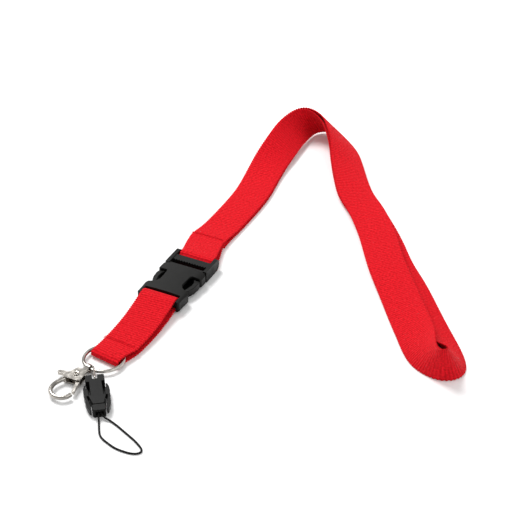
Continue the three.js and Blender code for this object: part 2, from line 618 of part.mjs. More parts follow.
/** A tubular rivet: flared head, shank through both cheeks, and a clinched end. */
function gateRivet() {
  const low = CLASP_Z - CLASP_INSIDE / 2 - CLASP_PLATE;
  const high = CLASP_Z + CLASP_INSIDE / 2 + CLASP_PLATE;
  const head = RIVET_HEAD_R;
  const points = [
    v2(0, low - 0.6), v2(head - 0.2, low - 0.6), v2(head, low - 0.3), v2(RIVET_R, low - 0.3),
    v2(RIVET_R, high + 0.3), v2(head, high + 0.3), v2(head - 0.3, high + 0.65), v2(0.75, high + 0.55),
    v2(0.6, high - 0.6), v2(0, high - 0.6),
  ];
  return new THREE.LatheGeometry(points, 20).rotateX(Math.PI / 2);
}

function clasp() {
  const group = new THREE.Group();
  group.add(nickel('swivel_eye', swivelEye()));
  group.add(nickel('swivel_rivet', swivelRivet()));
  group.add(nickel('clasp_body', claspBody()));
  group.add(nickel('clasp_gate', claspGate()));
  group.add(nickel('clasp_gate_spring', gateSpring()));
  group.add(nickel('clasp_gate_rivet', gateRivet()));
  group.position.set(CLASP_AT.x, CLASP_AT.y, 0);
  group.rotation.z = rad(CLASP_AT.turn);
  return group;
}

// ---- wire link and detachable connector ---------------------------------------------------
/** A long closed link of thin wire, standing on edge between the key ring and the connector. */
function wireLink() {
  const straight = LINK_LENGTH - LINK_SLACK;
  const corners = [...arc(0, 0, LINK_END_R, 0, 180, 6), ...arc(0, -straight, LINK_END_R, 180, 360, 6)];
  const path = new THREE.CatmullRomCurve3(corners.map(([z, y]) => v3(0, y, RING_Z + z)), true, 'centripetal');
  return rod(path, LINK_WIRE, 48, 8);
}

/** The connector's upper half: tapering shell, side notches for the prongs, and a bar for the link. */
function connectorSocket() {
  const h = CONNECTOR_HALF;
  const outline = mirrored([
    [0, 13.4], [h - 0.5, 13.4], [h, 12.8], [h, -0.6], [2.6, -8.5], [0, -8.5],
  ]);
  const cavityZ = [CONNECTOR_Z[0] + CONNECTOR_WALL, CONNECTOR_Z[1] - CONNECTOR_WALL];
  const notchZ = [CONNECTOR_Z[0] + NOTCH_FLOOR, 7];
  return carve(
    [plate(outline, CONNECTOR_Z)],
    [
      box([-1.3, 1.3], [9.8, 15], [-1, 7]),
      box([-CONNECTOR_TONGUE - FIT, CONNECTOR_TONGUE + FIT], [-9, 7.6], cavityZ),
      box([h - NOTCH_DEPTH, h + 1], NOTCH_Y, notchZ),
      box([-h - 1, -h + NOTCH_DEPTH], NOTCH_Y, notchZ),
    ],
  );
}

/** The bar across the notch in the connector's top, which the wire link hangs on. */
function connectorBar() {
  return cylinderX([-1.8, 1.8], BAR_Y, RING_Z, BAR_R, 12);
}

/** The connector's lower half: the block that holds the phone loop, and a guide tongue. */
function connectorPlug() {
  const block = mirrored([
    [0, PLUG.shoulder], [2.9, PLUG.shoulder], [3.4, -10], [3.2, PLUG.end + 0.4], [2.6, PLUG.end], [0, PLUG.end],
  ]);
  return carve(
    [
      plate(block, CONNECTOR_Z),
      box([-CONNECTOR_TONGUE, CONNECTOR_TONGUE], [PLUG.shoulder - 0.5, PLUG.tongueEnd], [1.7, 3.5]),
    ],
    [box([-1.7, 1.7], [PLUG.end - 1, PLUG.end + 3.4], [1.4, 3.6])],
  );
}

/** A springy side grip of the connector, rooted on the plug's block, with a barb in its notch. */
function connectorProng(side) {
  const inner = CONNECTOR_HALF + FIT;
  const outer = inner + 1.3;
  const barb = CONNECTOR_HALF - GRIP_BARB;
  const half = [
    [3.75, -12.9], [4.5, -12.6], [5.4, -10.4], [outer - 0.1, -6.6], [outer - 0.4, -4.4], [outer + 0.1, -2.6],
    [outer - 0.2, -0.6], [outer + 0.2, 1.4], [outer, 4.4], [outer - 0.6, 6.6], [inner, 6.9], [inner, 4.4],
    [barb, 3.0], [barb, NOTCH_Y[0] + FIT], [inner, NOTCH_Y[0] + FIT], [inner, -2.6], [4.3, -6.0], [3.75, -9.6],
  ];
  const bottom = CONNECTOR_Z[0] + NOTCH_FLOOR + FIT;
  return plate(half.map(([x, y]) => [side * x, y]), [bottom, bottom + GRIP_THICK]);
}

/** The crimped sleeve inside the plug that holds both ends of the phone loop. */
function cordCrimp() {
  return box([-1.4, 1.4], [PLUG.end + 1.6, PLUG.end + 3.1], [1.7, 3.3]);
}

function connector() {
  const group = new THREE.Group();
  const socket = geometryOf(solid(connectorSocket()).add(solid(connectorBar())));
  group.add(plastic('connector_socket', socket));
  group.add(plastic('connector_plug', connectorPlug()));
  group.add(plastic('connector_prong_left', connectorProng(-1)));
  group.add(plastic('connector_prong_right', connectorProng(1)));
  group.add(nickel('cord_crimp', cordCrimp()));
  group.position.set(CONNECTOR_AT.x, CONNECTOR_AT.y, 0);
  group.rotation.z = rad(CONNECTOR_AT.turn);
  return group;
}

function link() {
  const group = new THREE.Group();
  group.add(nickel('wire_link', wireLink()));
  group.position.set(LINK_AT.x, LINK_AT.y, 0);
  group.rotation.z = rad(LINK_AT.turn);
  return group;
}

// The phone loop: out of the plug, round on the table, and back into it.
const CORD_ROUTE = [
  [-75.35, -133.6, 2.5], [-75.15, -135.6, 2.2], [-75.0, -137.6, 1.4], [-74.8, -139.8, 0.7], [-74.5, -143, 0.56],
  [-73.9, -147.3, 0.56], [-72.6, -150.3, 0.56], [-70.1, -153.3, 0.56], [-65.9, -157.3, 0.56],
  [-60.6, -160.2, 0.56], [-56.8, -161.2, 0.56], [-54.2, -160.6, 0.56], [-53.4, -158.9, 0.56],
  [-54.4, -156.2, 0.56], [-57.4, -151.7, 0.56], [-61.8, -146.4, 0.56], [-66.2, -141.2, 0.56],
  [-69.6, -138, 0.8], [-71.8, -136.9, 1.5], [-73.4, -135.6, 2.2], [-74.1, -133.6, 2.5],
];

function phoneCord() {
  const path = new THREE.CatmullRomCurve3(CORD_ROUTE.map((p) => v3(...p)));
  return rod(path, CORD_DIAMETER, 40, 8);
}

// ---- the lanyard --------------------------------------------------------------------------
const lanyard = new THREE.Group();
lanyard.add(webbing('neck_webbing', neckWebbing()));
lanyard.add(thread('neck_bartack', bartackBar(0)));
lanyard.add(webbing('short_webbing', shortWebbing()));
lanyard.add(thread('short_stitching', seamBar(0)));
lanyard.add(buckle());
lanyard.add(nickel('key_ring', keyRing()));
lanyard.add(clasp());
lanyard.add(link());
lanyard.add(connector());
lanyard.add(rubberCord('phone_cord', phoneCord()));
lanyard.position.set(...LANYARD_AT);

export default lanyard;
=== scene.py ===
"""Looks of a neck lanyard lying on a table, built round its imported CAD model.

The straps, threads, wire and cord are surfaces worked out from the routes that the CAD model
follows. The moulded and stamped pieces are the CAD solids with their edges rounded. Sizes and
routes are in millimetres on the table; the object's frame is that table moved by LANYARD_AT.
"""

import logging
import math
from dataclasses import dataclass, field
from enum import Enum
from typing import Union

import bmesh
import bpy
import numpy as np
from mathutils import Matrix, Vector


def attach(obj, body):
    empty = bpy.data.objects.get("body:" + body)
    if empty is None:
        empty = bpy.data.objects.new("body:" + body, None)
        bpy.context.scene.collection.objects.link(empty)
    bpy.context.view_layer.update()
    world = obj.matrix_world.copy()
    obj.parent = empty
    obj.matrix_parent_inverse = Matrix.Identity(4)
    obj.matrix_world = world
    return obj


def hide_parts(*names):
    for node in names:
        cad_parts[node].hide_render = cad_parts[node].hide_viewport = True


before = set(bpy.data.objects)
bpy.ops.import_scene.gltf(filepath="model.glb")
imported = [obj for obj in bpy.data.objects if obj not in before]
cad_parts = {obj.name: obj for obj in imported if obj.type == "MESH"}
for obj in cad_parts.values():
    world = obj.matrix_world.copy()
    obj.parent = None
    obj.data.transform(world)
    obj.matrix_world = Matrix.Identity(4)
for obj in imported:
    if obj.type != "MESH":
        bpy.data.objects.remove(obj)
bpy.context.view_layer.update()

log = logging.getLogger("lanyard")

Tree = bpy.types.NodeTree
Socket = bpy.types.NodeSocket
Node = bpy.types.Node
Material = bpy.types.Material
Mesh = bpy.types.Mesh
Piece = bpy.types.Object
Operand = Union[Socket, float]
Colour = tuple[float, float, float, float]
Range = tuple[float, float]

MM = 0.001
LANYARD_AT = np.array([-2.0, 1.0, 0.0])
UP = np.array([0.0, 0.0, 1.0])
FULL_TURN = 2 * math.pi

# The webbing and the ring, as in the CAD model.
WEB_WIDTH = 20.0
WEB_THICK = 1.0
LAYER_PITCH = 1.9
RING_CENTRE = np.array([-75.9, -92.6, 2.25])
RING_R = 10.1
RING_WIRE = 1.8

# The webbing's section and ribs. The powers flatten its oval; the others are shares of a size.
RIB_PITCH = 1.5
SECTION_SIDES = 30
WIDTH_POWER = 0.55
THICK_POWER = 0.28
SCALLOP = 0.014
SCALLOP_POWER = 8
RIB_SWELL = 0.055

# Sewing thread.
STITCHES = 13
STITCH_SWING = 0.08
STITCH_WIRE = 0.24
ROW_OFFSET = 0.45
LOOSE_ENDS = 5
LOOSE_RADIUS = 0.16

# Curve sampling, and the angles and distance used to clean up CAD facets.
FINE_PER_SPAN = 40
LAST_POINT = 1e-9
OFF_EVERY_PATH = [0.31, 0.22, 0.93]
SAME_POINT = 2e-6
FLAT_ANGLE = math.radians(1.0)
CREASE_ANGLE = math.radians(38)


class Body(str, Enum):
    """The rigid bodies that pieces ride on."""

    NECK_STRAP = "neck_strap"
    PRONG_LEFT = "buckle_prong_left"
    PRONG_RIGHT = "buckle_prong_right"
    SHORT_STRAP = "short_strap"
    KEY_RING = "key_ring"
    SWIVEL = "swivel"
    CLASP = "clasp"
    GATE = "gate"
    WIRE_LINK = "wire_link"
    CONNECTOR_TOP = "connector_top"
    CONNECTOR_PLUG = "connector_plug"
    GRIP_LEFT = "connector_prong_left"
    GRIP_RIGHT = "connector_prong_right"


class Slot(str, Enum):
    """The record's material slots."""

    WEBBING = "webbing"
    THREAD = "thread"
    BUCKLE = "buckle_plastic"
    CONNECTOR = "connector_plastic"
    RING = "ring_wire"
    CLASP = "clasp_metal"
    CORD = "cord"


# ---- shader node groups
def new_group(name: str, place: str, values: dict[str, float], outputs: tuple[str, ...]) -> Tree:
    """Makes an empty shader node group.

    Args:
        name: the group's name.
        place: name of its first input, a vector.
        values: its other inputs, as name to default value.
        outputs: names of the value sockets it gives out.

    Returns:
        The group's node tree, with its input and output nodes named "in" and "out".
    """
    tree = bpy.data.node_groups.new(name, "ShaderNodeTree")
    sockets = tree.interface
    sockets.new_socket(name=place, in_out="INPUT", socket_type="NodeSocketVector")
    for label, value in values.items():
        socket = sockets.new_socket(name=label, in_out="INPUT", socket_type="NodeSocketFloat")
        socket.default_value = value
    for label in outputs:
        sockets.new_socket(name=label, in_out="OUTPUT", socket_type="NodeSocketFloat")
    tree.nodes.new("NodeGroupInput").name = "in"
    tree.nodes.new("NodeGroupOutput").name = "out"
    return tree


def set_values(node: Node, values: dict[str, object]) -> None:
    """Sets a node's own input values, by socket name."""
    for name, value in values.items():
        node.inputs[name].default_value = value


def math_node(tree: Tree, operation: str, *operands: Operand) -> Socket:
    """Adds a Math node.

    Args:
        tree: the node tree to add to.
        operation: the node's operation, such as "MULTIPLY".
        operands: one or two sockets or numbers.

    Returns:
        The result's socket.
    """
    node = tree.nodes.new("ShaderNodeMath")
    node.operation = operation
    for socket, value in zip(node.inputs, operands):
        if isinstance(value, Socket):
            tree.links.new(value, socket)
        else:
            socket.default_value = value
    return node.outputs[0]


def times(tree: Tree, a: Operand, b: Operand) -> Socket:
    """The product of two sockets or numbers."""
    return math_node(tree, "MULTIPLY", a, b)


def plus(tree: Tree, a: Operand, b: Operand) -> Socket:
    """The sum of two sockets or numbers."""
    return math_node(tree, "ADD", a, b)


def noise(tree: Tree, vector: Socket, scale: Operand, detail: float = 2.0) -> Socket:
    """Adds a Noise texture.

    Args:
        tree: the node tree to add to.
        vector: where it is read.
        scale: spots per metre, as a number or a socket.
        detail: layers of finer noise.

    Returns:
        Its value socket.
    """
    node = tree.nodes.new("ShaderNodeTexNoise")
    tree.links.new(vector, node.inputs["Vector"])
    if isinstance(scale, Socket):
        tree.links.new(scale, node.inputs["Scale"])
    else:
        node.inputs["Scale"].default_value = scale
    node.inputs["Detail"].default_value = detail
    return node.outputs["Fac"]


def mix_colour(tree: Tree, factor: Socket, a: Union[Socket, Colour], b: Union[Socket, Colour]) -> Socket:
    """Adds a colour Mix.

    Args:
        tree: the node tree to add to.
        factor: 0 gives the first colour and 1 the second.
        a: first colour.
        b: second colour.

    Returns:
        The mixed colour's socket.
    """
    node = tree.nodes.new("ShaderNodeMix")
    node.data_type = "RGBA"
    tree.links.new(factor, node.inputs["Factor"])
    for name, value in (("A", a), ("B", b)):
        socket = next(s for s in node.inputs if s.name == name and s.type == "RGBA")
        if isinstance(value, Socket):
            tree.links.new(value, socket)
        else:
            socket.default_value = value
    return next(s for s in node.outputs if s.type == "RGBA")


def woven_group() -> Tree:
    """Builds the weave: ribs across the strap, warp yarns along it, and speckled yarn shades.

    A rib is a sine of the distance along the strap, pushed about a little by slow noise. The weave
    is that sine times a sine of the distance across the strap, so it is half a wave on from rib to
    rib. Height is some of each with fine noise for the yarn's fuzz. Shade is a speckle of coarser
    noise with a little of each, and that little is painted shade: darker in the dips between ribs
    and yarns, lighter on their crests.

    Returns:
        The node group, which reads the strap's own UV map in metres.
    """
    waves = {"Rib": FULL_TURN / (RIB_PITCH * MM), "Yarn": 8200.0}
    tree = new_group("woven_ribs", "UV", waves, ("Height", "Shade", "Patch"))
    source, out = tree.nodes["in"], tree.nodes["out"]
    uv = source.outputs["UV"]
    split = tree.nodes.new("ShaderNodeSeparateXYZ")
    tree.links.new(uv, split.inputs[0])
    wobble = times(tree, noise(tree, uv, scale=160.0), 1.6)
    along = times(tree, split.outputs["Y"], source.outputs["Rib"])
    rib = math_node(tree, "SINE", plus(tree, along, wobble))
    yarn = math_node(tree, "SINE", times(tree, split.outputs["X"], source.outputs["Yarn"]))
    weave = times(tree, rib, yarn)
    relief = plus(tree, times(tree, rib, 0.55), times(tree, weave, 0.35))
    fuzz = times(tree, noise(tree, uv, scale=2600.0, detail=3.0), 0.9)
    tree.links.new(plus(tree, relief, fuzz), out.inputs["Height"])
    # Painted shade: the dips between ribs and yarns are darkened in colour and their crests lightened.
    painted_rib_shade = plus(tree, times(tree, weave, 0.04), times(tree, rib, 0.06))
    speckle = noise(tree, uv, scale=900.0, detail=4.0)
    tree.links.new(plus(tree, painted_rib_shade, speckle), out.inputs["Shade"])
    tree.links.new(noise(tree, uv, scale=60.0), out.inputs["Patch"])
    return tree


def grain_group() -> Tree:
    """Builds moulded or plated surface grain: fine bumps, and slow changes of gloss.

    Returns:
        The node group. Its three outputs are noises of falling scale.
    """
    tree = new_group("fine_grain", "Vector", {"Scale": 3000.0}, ("Height", "Gloss", "Smudge_and_Painted_Reflection"))
    source, out = tree.nodes["in"], tree.nodes["out"]
    place = source.outputs["Vector"]
    for label, scale, detail in (
        ("Height", source.outputs["Scale"], 3.0),
        ("Gloss", 420.0, 3.0),
        ("Smudge_and_Painted_Reflection", 110.0, 2.0),
    ):
        tree.links.new(noise(tree, place, scale, detail), out.inputs[label])
    return tree


# ---- finishes
def new_material(name: str) -> tuple[Material, Tree, Node]:
    """Makes a node material.

    Args:
        name: the material's name.

    Returns:
        (material, its node tree, its Principled BSDF).
    """
    material = bpy.data.materials.new(name)
    material.use_nodes = True
    tree = material.node_tree
    return material, tree, tree.nodes["Principled BSDF"]


def placed_group(tree: Tree, group: Tree, vector: Socket, **values: float) -> Node:
    """Places a node group.

    Args:
        tree: the material's node tree.
        group: the group to place.
        vector: the socket that feeds the group's first input.
        values: the group's other input values, by name.

    Returns:
        The group's node.
    """
    node = tree.nodes.new("ShaderNodeGroup")
    node.node_tree = group
    tree.links.new(vector, node.inputs[0])
    set_values(node, values)
    return node


def piece_uv(tree: Tree) -> Socket:
    """The UV map that every worked-out surface carries."""
    node = tree.nodes.new("ShaderNodeUVMap")
    node.uv_map = "weave"
    return node.outputs["UV"]


def ramped(tree: Tree, value: Socket, between: Range, to: Range = (0.0, 1.0)) -> Socket:
    """Adds a clamped Map Range.

    Args:
        tree: the node tree to add to.
        value: the socket to map.
        between: the values that give the first and the second result.
        to: those two results.

    Returns:
        The result's socket.
    """
    node = tree.nodes.new("ShaderNodeMapRange")
    tree.links.new(value, node.inputs["Value"])
    set_values(node, dict(zip(("From Min", "From Max", "To Min", "To Max"), (*between, *to))))
    return node.outputs["Result"]


def bumped(tree: Tree, shader: Node, height: Socket, strength: float, distance: float) -> None:
    """Feeds a height through a Bump node into the shader's normal.

    Args:
        tree: the material's node tree.
        shader: its Principled BSDF.
        height: the height's socket.
        strength: the Bump node's strength.
        distance: how high a height of 1 stands, in metres.
    """
    bump = tree.nodes.new("ShaderNodeBump")
    set_values(bump, {"Strength": strength, "Distance": distance})
    tree.links.new(height, bump.inputs["Height"])
    tree.links.new(bump.outputs["Normal"], shader.inputs["Normal"])


def tinted(colour: Colour, factor: float, lift: float = 0.0) -> Colour:
    """A colour times a factor and lifted, at most 1 in each channel."""
    return tuple(min(1.0, factor * c + lift) for c in colour[:3]) + (1.0,)


@dataclass(frozen=True)
class WovenFinish:
    """Red woven polyester: speckled yarn shades, ribs across the strap with painted shade between, and a
    soft sheen.
    """

    name: str
    light: Colour
    dark: Colour
    group: Tree
    speckle: Range = (0.36, 0.62)
    patch: Range = (0.35, 0.7)
    patch_strength: float = 0.5
    patch_tint: float = 0.82
    gloss: Range = (0.3, 0.7)
    roughness: Range = (0.92, 0.72)
    sheen: float = 0.12
    sheen_roughness: float = 0.45
    sheen_tint: Colour = (1.0, 0.2, 0.2, 1.0)
    specular: float = 0.12
    bump: float = 0.85
    relief: float = 0.22

    def material(self) -> Material:
        """Builds the material, whose weave follows the strap's UV map.

        Returns:
            The material.
        """
        material, tree, shader = new_material(self.name)
        weave = placed_group(tree, self.group, piece_uv(tree))
        shade = weave.outputs["Shade"]
        # The shade's speckle is real yarn tone; its rib and weave part is painted shade between the ribs.
        colour = mix_colour(tree, ramped(tree, shade, self.speckle), self.dark, self.light)
        patch = ramped(tree, weave.outputs["Patch"], self.patch, (0.0, self.patch_strength))
        colour = mix_colour(tree, patch, colour, tinted(self.light, self.patch_tint))
        tree.links.new(colour, shader.inputs["Base Color"])
        tree.links.new(ramped(tree, shade, self.gloss, self.roughness), shader.inputs["Roughness"])
        set_values(shader, {
            "Sheen Weight": self.sheen,
            "Sheen Roughness": self.sheen_roughness,
            "Sheen Tint": self.sheen_tint,
            "Specular IOR Level": self.specular,
        })
        bumped(tree, shader, weave.outputs["Height"], self.bump, self.relief * MM)
        return material


@dataclass(frozen=True)
class GrainedFinish:
    """A hard surface with fine grain, uneven gloss and handled patches; as it stands, plastic."""

    name: str
    colour: Colour
    roughness: float
    group: Tree
    grain_scale: float = 2600.0
    patch: Range = (0.45, 0.75)
    patch_strength: float = 0.6
    patch_tint: Range = (1.4, 0.001)
    gloss: Range = (0.35, 0.65)
    gloss_swing: Range = (-0.06, 0.08)
    metallic: float = 0.0
    specular: float = 0.13
    bump: float = 0.25
    relief: float = 0.06

    def material(self) -> Material:
        """Builds the material on Object coordinates.

        Returns:
            The material.
        """
        material, tree, shader = new_material(self.name)
        place = tree.nodes.new("ShaderNodeTexCoord")
        grain = placed_group(tree, self.group, place.outputs["Object"], Scale=self.grain_scale)
        # The slow noise gives patches: lighter handled ones on plastic, and on plated metal darker ones
        # that are painted dark reflections.
        patch = ramped(tree, grain.outputs["Smudge_and_Painted_Reflection"], self.patch, (0.0, self.patch_strength))
        colour = mix_colour(tree, patch, self.colour, tinted(self.colour, *self.patch_tint))
        tree.links.new(colour, shader.inputs["Base Color"])
        rough = (self.roughness + self.gloss_swing[0], self.roughness + self.gloss_swing[1])
        tree.links.new(ramped(tree, grain.outputs["Gloss"], self.gloss, rough), shader.inputs["Roughness"])
        set_values(shader, {"Metallic": self.metallic, "Specular IOR Level": self.specular})
        bumped(tree, shader, grain.outputs["Height"], self.bump, self.relief * MM)
        return material


@dataclass(frozen=True)
class PlatedFinish(GrainedFinish):
    """Nickel plate: bright metal with faint ripples, and darker patches painted in as dark reflections."""

    grain_scale: float = 900.0
    # The patches here are painted dark reflections, darkened by patch_tint from the plate's colour.
    patch: Range = (0.42, 0.66)
    patch_strength: float = 1.0
    patch_tint: Range = (0.55, 0.0)
    gloss: Range = (0.4, 0.75)
    gloss_swing: Range = (0.0, 0.14)
    metallic: float = 1.0
    specular: float = 0.5
    bump: float = 0.12
    relief: float = 0.08


@dataclass(frozen=True)
class TwistedFinish:
    """Twisted thread or cord: slanting strands that follow the piece's UV map, with painted shade in their
    grooves.
    """

    name: str
    colour: Colour
    roughness: float
    turns: float
    strands: int = 3
    crest_highlight_tint: Range = (1.4, 0.002)
    specular: float = 0.1
    bump: float = 0.6
    relief: float = 0.1

    def material(self) -> Material:
        """Builds the material; strands are a sine of distance along plus the angle round.

        Returns:
            The material.
        """
        material, tree, shader = new_material(self.name)
        split = tree.nodes.new("ShaderNodeSeparateXYZ")
        tree.links.new(piece_uv(tree), split.inputs[0])
        along = times(tree, split.outputs["Y"], self.turns)
        around = times(tree, split.outputs["X"], self.strands * FULL_TURN)
        strand = math_node(tree, "SINE", plus(tree, along, around))
        # Painted highlight and shade: the colour runs from the base colour in the grooves between strands
        # to a lighter one on their crests.
        light = tinted(self.colour, *self.crest_highlight_tint)
        colour = mix_colour(tree, ramped(tree, strand, (-1.0, 1.0)), self.colour, light)
        tree.links.new(colour, shader.inputs["Base Color"])
        set_values(shader, {"Roughness": self.roughness, "Specular IOR Level": self.specular})
        bumped(tree, shader, strand, self.bump, self.relief * MM)
        return material


@dataclass
class Finishes:
    """Every material of the object, made once."""

    webbing: Material = field(init=False)
    thread: Material = field(init=False)
    buckle: Material = field(init=False)
    connector: Material = field(init=False)
    ring: Material = field(init=False)
    clasp: Material = field(init=False)
    cord: Material = field(init=False)

    def __post_init__(self) -> None:
        """Builds the materials from the two shared node groups."""
        weave, grain = woven_group(), grain_group()
        made = {
            "webbing": WovenFinish("red_webbing", (0.74, 0.003, 0.012, 1), (0.46, 0.001, 0.005, 1), weave),
            "thread": TwistedFinish("red_thread", (0.62, 0.004, 0.012, 1), 0.7, 9000.0),
            "buckle": GrainedFinish("buckle_black", (0.0065, 0.0065, 0.006, 1), 0.42, grain),
            "connector": GrainedFinish("connector_black", (0.002, 0.002, 0.0019, 1), 0.4, grain),
            "ring": PlatedFinish("ring_nickel", (0.56, 0.53, 0.49, 1), 0.1, grain),
            "clasp": PlatedFinish("clasp_nickel", (0.52, 0.49, 0.45, 1), 0.14, grain),
            "cord": TwistedFinish("black_cord", (0.006, 0.006, 0.006, 1), 0.55, 5200.0),
        }
        for name, finish in made.items():
            setattr(self, name, finish.material())


# ---- surfaces
def framed(points: np.ndarray) -> np.ndarray:
    """Table millimetres as metres in the object's frame."""
    return (np.asarray(points, float) + LANYARD_AT) * MM


def unit(vectors: np.ndarray) -> np.ndarray:
    """Each row brought to length 1."""
    return vectors / np.maximum(np.linalg.norm(vectors, axis=-1, keepdims=True), 1e-12)


def directions(path: np.ndarray, closed: bool) -> np.ndarray:
    """Unit vectors along a path, from each point's two neighbours."""
    return unit(np.roll(path, -1, 0) - np.roll(path, 1, 0) if closed else np.gradient(path, axis=0))


def distances(path: np.ndarray) -> np.ndarray:
    """Distance along a path from its first point to each of its points."""
    return np.concatenate([[0], np.cumsum(np.linalg.norm(np.diff(path, axis=0), axis=1))])


def smoothstep(x: np.ndarray, low: float, high: float) -> np.ndarray:
    """0 below low, 1 above high, and 3t^2 - 2t^3 between."""
    t = np.clip((x - low) / (high - low), 0, 1)
    return t * t * (3 - 2 * t)


def catmull_rom(points: np.ndarray, times_along: np.ndarray, closed: bool) -> np.ndarray:
    """Points on the uniform Catmull-Rom curve through the given ones.

    Between points 1 and 2 the curve is the cubic that leaves along half of (2 - 0) and arrives
    along half of (3 - 1).

    Args:
        points: control points, one per row.
        times_along: curve parameters, 1.0 from one control point to the next.
        closed: whether the curve returns to its first point.

    Returns:
        One point per parameter.
    """
    count = len(points)
    i = np.floor(times_along).astype(int)
    if not closed:
        i = np.clip(i, 0, count - 2)
    t = (times_along - i)[:, None]
    if closed:
        p0, p1, p2, p3 = (points[(i + k) % count] for k in (-1, 0, 1, 2))
    else:
        ends = np.vstack([2 * points[0] - points[1], points, 2 * points[-1] - points[-2]])
        p0, p1, p2, p3 = (ends[i + k] for k in (0, 1, 2, 3))
    a = 2 * p1
    b = p2 - p0
    c = 2 * p0 - 5 * p1 + 4 * p2 - p3
    d = 3 * p1 - p0 - 3 * p2 + p3
    return 0.5 * (a + b * t + c * t**2 + d * t**3)


def even_times(points: np.ndarray, step: float, closed: bool) -> np.ndarray:
    """Curve parameters that are about one step apart along a Catmull-Rom curve.

    The curve is drawn finely, and the parameters are read off at even distances along it.

    Args:
        points: control points, one per row.
        step: the distance wanted between neighbours.
        closed: whether the curve returns to its first point.

    Returns:
        The parameters, without the repeated last one of a closed curve.
    """
    spans = len(points) if closed else len(points) - 1
    last = spans if closed else spans - LAST_POINT
    fine = np.linspace(0, spans, spans * FINE_PER_SPAN + 1)
    length = distances(catmull_rom(points, np.minimum(fine, last), closed))
    targets = np.linspace(0, length[-1], int(round(length[-1] / step)) + 1)
    found = np.minimum(np.interp(targets, length, fine), last)
    return found[:-1] if closed else found


def sampled_edges(p: np.ndarray, q: np.ndarray, step: float, closed: bool) -> tuple:
    """Two edges sampled together at about equal steps along their middle line.

    Args:
        p: left edge's control points.
        q: right edge's control points.
        step: the distance wanted between neighbours.
        closed: whether the strap is a closed band.

    Returns:
        (left edge, right edge, curve parameters).
    """
    found = even_times((p + q) / 2, step, closed)
    return catmull_rom(p, found, closed), catmull_rom(q, found, closed), found


def smoothed(values: np.ndarray, spread: np.ndarray) -> np.ndarray:
    """Values averaged along their rows with a moving bell curve whose width may change.

    Args:
        values: one row per place along the strap.
        spread: the bell's standard deviation at each row, in rows; 0 keeps the row.

    Returns:
        The smoothed rows.
    """
    reach = int(3 * spread.max()) + 1
    before, after = np.repeat(values[:1], reach, 0), np.repeat(values[-1:], reach, 0)
    padded = np.concatenate([before, values, after])
    total, weights = np.zeros_like(values), np.zeros(len(values))
    for offset in range(-reach, reach + 1):
        weight = np.exp(-0.5 * (offset / np.maximum(spread, 1e-3)) ** 2)
        total += weight[:, None] * padded[reach + offset : reach + offset + len(values)]
        weights += weight
    return total / weights[:, None]


def tube_rings(path: np.ndarray, radius: Union[float, np.ndarray], sides: int, closed: bool) -> tuple:
    """Rings of a round tube along a path, turned as little as possible from ring to ring.

    A ring's point is the path's point plus the radius times (cosine of its angle times one
    direction across the path, plus sine of its angle times the other).

    Args:
        path: centreline points.
        radius: one radius, or one for each point.
        sides: points per ring.
        closed: whether the path returns to its start.

    Returns:
        (grid of points, UV grid: part of a turn, and distance along).
    """
    tangent = directions(path, closed)
    side = np.empty_like(tangent)
    side[0] = unit(np.cross(tangent[0], OFF_EVERY_PATH))
    for n in range(1, len(path)):
        side[n] = unit(side[n - 1] - tangent[n] * (side[n - 1] @ tangent[n]))
    other = np.cross(tangent, side)
    part = np.arange(sides) / sides
    cosine, sine = (turn(FULL_TURN * part)[None, :, None] for turn in (np.cos, np.sin))
    radius = np.broadcast_to(np.asarray(radius, float), (len(path),))[:, None, None]
    grid = path[:, None] + radius * (cosine * side[:, None] + sine * other[:, None])
    uv = np.stack(np.broadcast_arrays(part[None, :], distances(path)[:, None]), -1)
    return grid, uv


def strap_rings(p: np.ndarray, q: np.ndarray, closed: bool) -> tuple:
    """Rings of a webbing strap between its two edges, with ribs and scalloped selvedges.

    A ring is a flat oval: a superellipse of the half width and the half thickness. Along the
    strap both grow and shrink with a sine, one wave per rib.

    Args:
        p: left edge, one point per ring, in metres.
        q: right edge.
        closed: whether the strap is a closed band.

    Returns:
        (grid of points, UV grid in metres across and along).
    """
    middle, across = (p + q) / 2, q - p
    normal = unit(np.cross(directions(middle, closed), across))
    along = distances(middle)
    angle = FULL_TURN * np.arange(SECTION_SIDES) / SECTION_SIDES
    flat = (np.sign(np.cos(angle)) * np.abs(np.cos(angle)) ** WIDTH_POWER)[None]
    thick = (np.sign(np.sin(angle)) * np.abs(np.sin(angle)) ** THICK_POWER)[None]
    wave = np.sin(FULL_TURN * along / (RIB_PITCH * MM))[:, None]
    reach = flat * (0.5 + SCALLOP * wave * np.abs(flat) ** SCALLOP_POWER)
    lift = thick * WEB_THICK * MM / 2 * (1 - RIB_SWELL + RIB_SWELL * wave)
    grid = middle[:, None] + reach[..., None] * across[:, None] + lift[..., None] * normal[:, None]
    half_width = 0.5 * np.linalg.norm(across, axis=1)[:, None]
    uv = np.stack(np.broadcast_arrays(half_width * flat, along[:, None]), -1)
    return grid, uv


